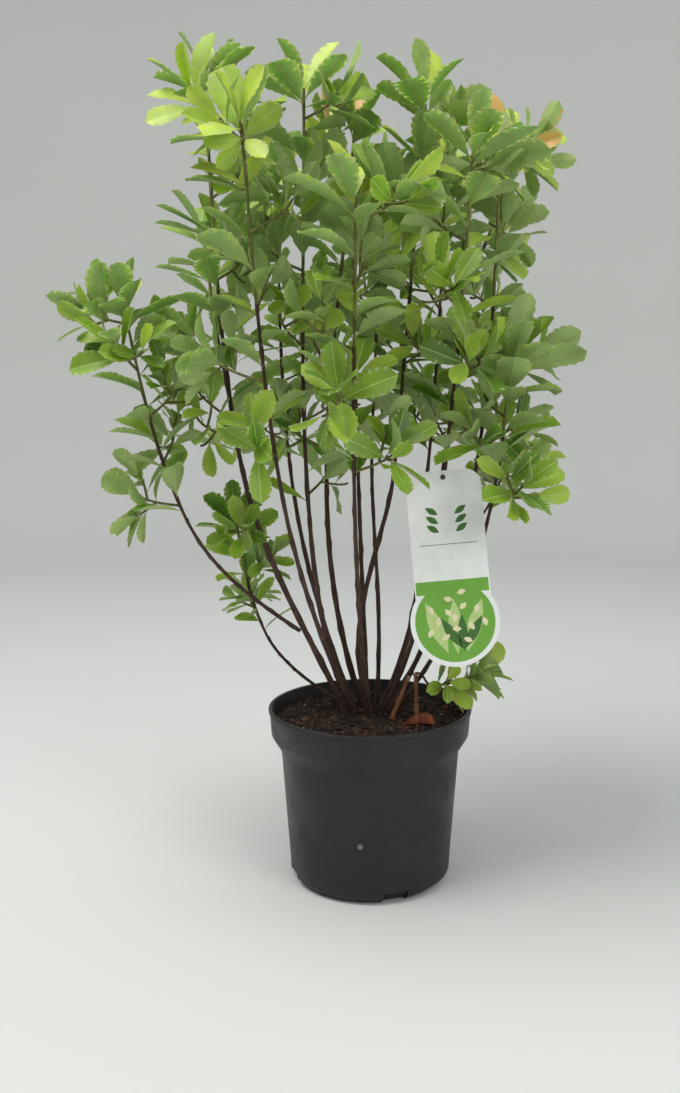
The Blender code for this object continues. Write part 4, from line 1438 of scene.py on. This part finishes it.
class SUMMERSWEET_OT_label(bpy.types.Operator):
    """Hang label with a plain printed design, and its twig"""

    bl_idname = "summersweet.label"
    bl_label = "Label"

    def execute(self, context):
        settings = context.scene.summersweet_pot
        face = -LABEL_THICKNESS / 2
        white = print_material("polypropylene_sheet", settings.card)
        card = sheet_of("label_card", label_outline(), face, -face, white)
        hole = bmesh.new()
        bmesh.ops.create_cone(hole, cap_ends=True, segments=32, radius1=LABEL_HOLE_RADIUS,
                              radius2=LABEL_HOLE_RADIUS, depth=0.01)
        bmesh.ops.rotate(hole, cent=(0, 0, 0), matrix=Matrix.Rotation(math.pi / 2, 3, "X"),
                         verts=hole.verts)
        bmesh.ops.translate(hole, vec=LABEL_HOLE, verts=hole.verts)
        cut(card, [from_bmesh("cutter", hole, [])])
        place(card, "label_plastic", "hang_label")
        inks = {
            "green": print_material("ink_green", settings.ink),
            "grey": print_material("ink_grey", "#8d918e"),
            "deep": print_material("ink_deep_green", "#3f6d2c"),
            "pale": print_material("ink_pale_green", "#b9cf86"),
            "cream": print_material("ink_cream", "#e6dfb4"),
        }
        half = LABEL_NECK_WIDTH / 2
        disc = -LABEL_TOP_TO_DISC
        band = bar(half - BAND_BORDER, BAND_FROM_TO)
        rule = bar(RULE_HALF_WIDTH, RULE_FROM_TO)
        turns = [math.tau * i / FIELD_SIDES for i in range(FIELD_SIDES)]
        ring = [(FIELD_RADIUS * math.cos(t), disc + FIELD_RADIUS * math.sin(t)) for t in turns]
        shapes = [("green", band, 1), ("grey", rule, 1), ("green", ring, 2)]
        for side in (-1, 0, 1):
            for step in range(3):
                middle = (side * 0.013, -0.052 + step * 0.008)
                if side:
                    shapes.append(("deep", lens(middle, 0.013, 0.0055, side * 1.0), 1))
            shapes.append(("pale", lens((side * 0.017, disc - 0.004), 0.050, 0.013, side * 0.35), 3))
            shapes.append(("deep", lens((side * 0.010 + 0.006, disc - 0.010), 0.034, 0.009,
                                        side * 0.55), 4))
        for index in range(14):
            turn = GOLDEN_ANGLE * index
            reach = 0.0085 * math.sqrt(index)
            spot = (reach * math.cos(turn) * 0.9, disc + 0.004 + reach * math.sin(turn) * 0.85)
            shapes.append(("cream", lens(spot, 0.0085, 0.0048, turn), 5))
        for number, (ink, outline, layer) in enumerate(shapes):
            front = face - layer * INK_LAYER
            shape = sheet_of(f"label_print_{number}", outline, front, face + 0.0001, inks[ink])
            place(shape, "label_plastic")
        foot, end = label_twig_ends(all_limbs()[LABEL_STEM])
        points = [foot.lerp(end, i / 4) for i in range(5)]
        body = rough_tube(points, taper(LABEL_TWIG_RADIUS, LABEL_TWIG_TIP_RADIUS, 5), 8)
        bark = bpy.data.materials["bark_young_stem"]
        place(joined("bark_label_twig", [body], [bark]), "stem_bark", "label_twig")
        return {"FINISHED"}


class SUMMERSWEET_OT_litter(bpy.types.Operator):
    """Dead stubs and the fallen leaf"""

    bl_idname = "summersweet.litter"
    bl_label = "Litter"

    def execute(self, context):
        wood = bark_material("dead_wood", "#8a5d3e", 0.85)
        pale = compost_material("torn_wood", "#b59473", 2 * MM)
        for seed, (name, (foot, end)) in enumerate(STUBS.items(), 300):
            points = [(foot - UP * (GAP + STUB_BURIED)).lerp(end, i / 9) for i in range(10)]
            shape = bark_shape(points, seed, 9, 0.25)
            body = rough_tube(points, taper(0.0021, STUB_END_RADIUS, 10), 9, shape)
            slots = [1 if len(face) == 3 else 0 for face in body.faces]
            place(joined("dead_" + name, [Shape(body.corners, body.faces, slots)], [wood, pale]),
                  "dead_wood", name)
        root = DEAD_LEAF_ROOT - UP * GAP
        along = (DEAD_LEAF_TIP - root).normalized()
        leaf = Leaf(root, along, across(along, DEAD_LEAF_FACE), (DEAD_LEAF_TIP - root).length,
                    width=0.42, fold=0.9, droop=0.5, twist=0.9, wave=0.03, phase=1.0, tint="dead")
        quads, tris, quad_slots, tri_slots = leaf_faces()
        brown = bark_material("leaf_dead", "#7b4327", 0.8)
        obj = piece("fallen_leaf", leaf_points([leaf])[0], [quads, tris], quad_slots + tri_slots,
                    [brown, brown, brown], 70.0)
        place(obj, "dead_leaf", "dead_leaf")
        return {"FINISHED"}


def area_light(name, power, size, spot, target):
    """Large soft light at a spot, facing a target."""
    light = bpy.data.lights.new(name, "AREA")
    light.energy = power
    light.shape = "DISK"
    light.size = size
    obj = bpy.data.objects.new(name, light)
    obj.location = spot
    obj.rotation_euler = (Vector(target) - Vector(spot)).to_track_quat("-Z", "Y").to_euler()
    bpy.context.scene.collection.objects.link(obj)


class SUMMERSWEET_OT_stage(bpy.types.Operator):
    """Pale floor that curves up into a wall all round, soft light and the camera"""

    bl_idname = "summersweet.stage"
    bl_label = "Stage"

    def execute(self, context):
        settings = context.scene.summersweet_stage
        radius = settings.floor_radius
        cove = arc((radius, COVE_RADIUS), COVE_RADIUS, -90, 0, 12)
        profile = [(0.0, 0.0)] + cove + [(radius + COVE_RADIUS, WALL_TOP)]
        floor = from_bmesh("floor", turned(profile, STAGE_SIDES), [floor_material(settings.floor)])
        world = bpy.data.worlds.new("even_light")
        world.use_nodes = True
        world.node_tree.nodes["Background"].inputs["Color"].default_value = linear("#eef2f6")
        world.node_tree.nodes["Background"].inputs["Strength"].default_value = settings.sky
        context.scene.world = world
        area_light("key_light", settings.key_power, 1.6, (-0.9, -0.5, 2.3), (0, 0, 0.45))
        area_light("fill_light", settings.fill_power, 1.2, (1.3, -1.4, 1.2), (0, 0, 0.35))
        camera = bpy.data.cameras.new("camera")
        camera.lens = settings.lens
        camera.shift_x, camera.shift_y = settings.shift
        camera.dof.use_dof = False
        obj = bpy.data.objects.new("camera", camera)
        obj.location = settings.eye
        obj.rotation_euler = (math.radians(90.0), 0.0, 0.0)
        context.scene.collection.objects.link(obj)
        context.scene.camera = obj
        context.scene.view_settings.view_transform = "Standard"
        return {"FINISHED"}


class SUMMERSWEET_PT_panel(bpy.types.Panel):
    """Lists the steps that build the plant"""

    bl_idname = "SUMMERSWEET_PT_panel"
    bl_label = "Potted summersweet"
    bl_space_type = "VIEW_3D"
    bl_region_type = "UI"
    bl_category = "Summersweet"

    def draw(self, context):
        for step in STEPS:
            self.layout.operator("summersweet." + step)
        for group in GROUPS:
            settings = getattr(context.scene, group)
            for name in settings.__annotations__:
                self.layout.prop(settings, name)


STEPS = ("stage", "stems", "foliage", "pot", "compost", "label", "litter")
GROUPS = {
    "summersweet_plant": PlantSettings,
    "summersweet_pot": PotSettings,
    "summersweet_stage": StageSettings,
}
CLASSES = (
    PlantSettings, PotSettings, StageSettings, SUMMERSWEET_OT_stems, SUMMERSWEET_OT_foliage,
    SUMMERSWEET_OT_pot, SUMMERSWEET_OT_compost, SUMMERSWEET_OT_label, SUMMERSWEET_OT_litter,
    SUMMERSWEET_OT_stage, SUMMERSWEET_PT_panel,
)


def register():
    for cls in CLASSES:
        bpy.utils.register_class(cls)
    for name, group in GROUPS.items():
        setattr(bpy.types.Scene, name, bpy.props.PointerProperty(type=group))


def unregister():
    for name in GROUPS:
        delattr(bpy.types.Scene, name)
    for cls in reversed(CLASSES):
        bpy.utils.unregister_class(cls)


def main():
    register()
    for step in STEPS:
        getattr(bpy.ops.summersweet, step)()


if __name__ == "__main__":
    main()
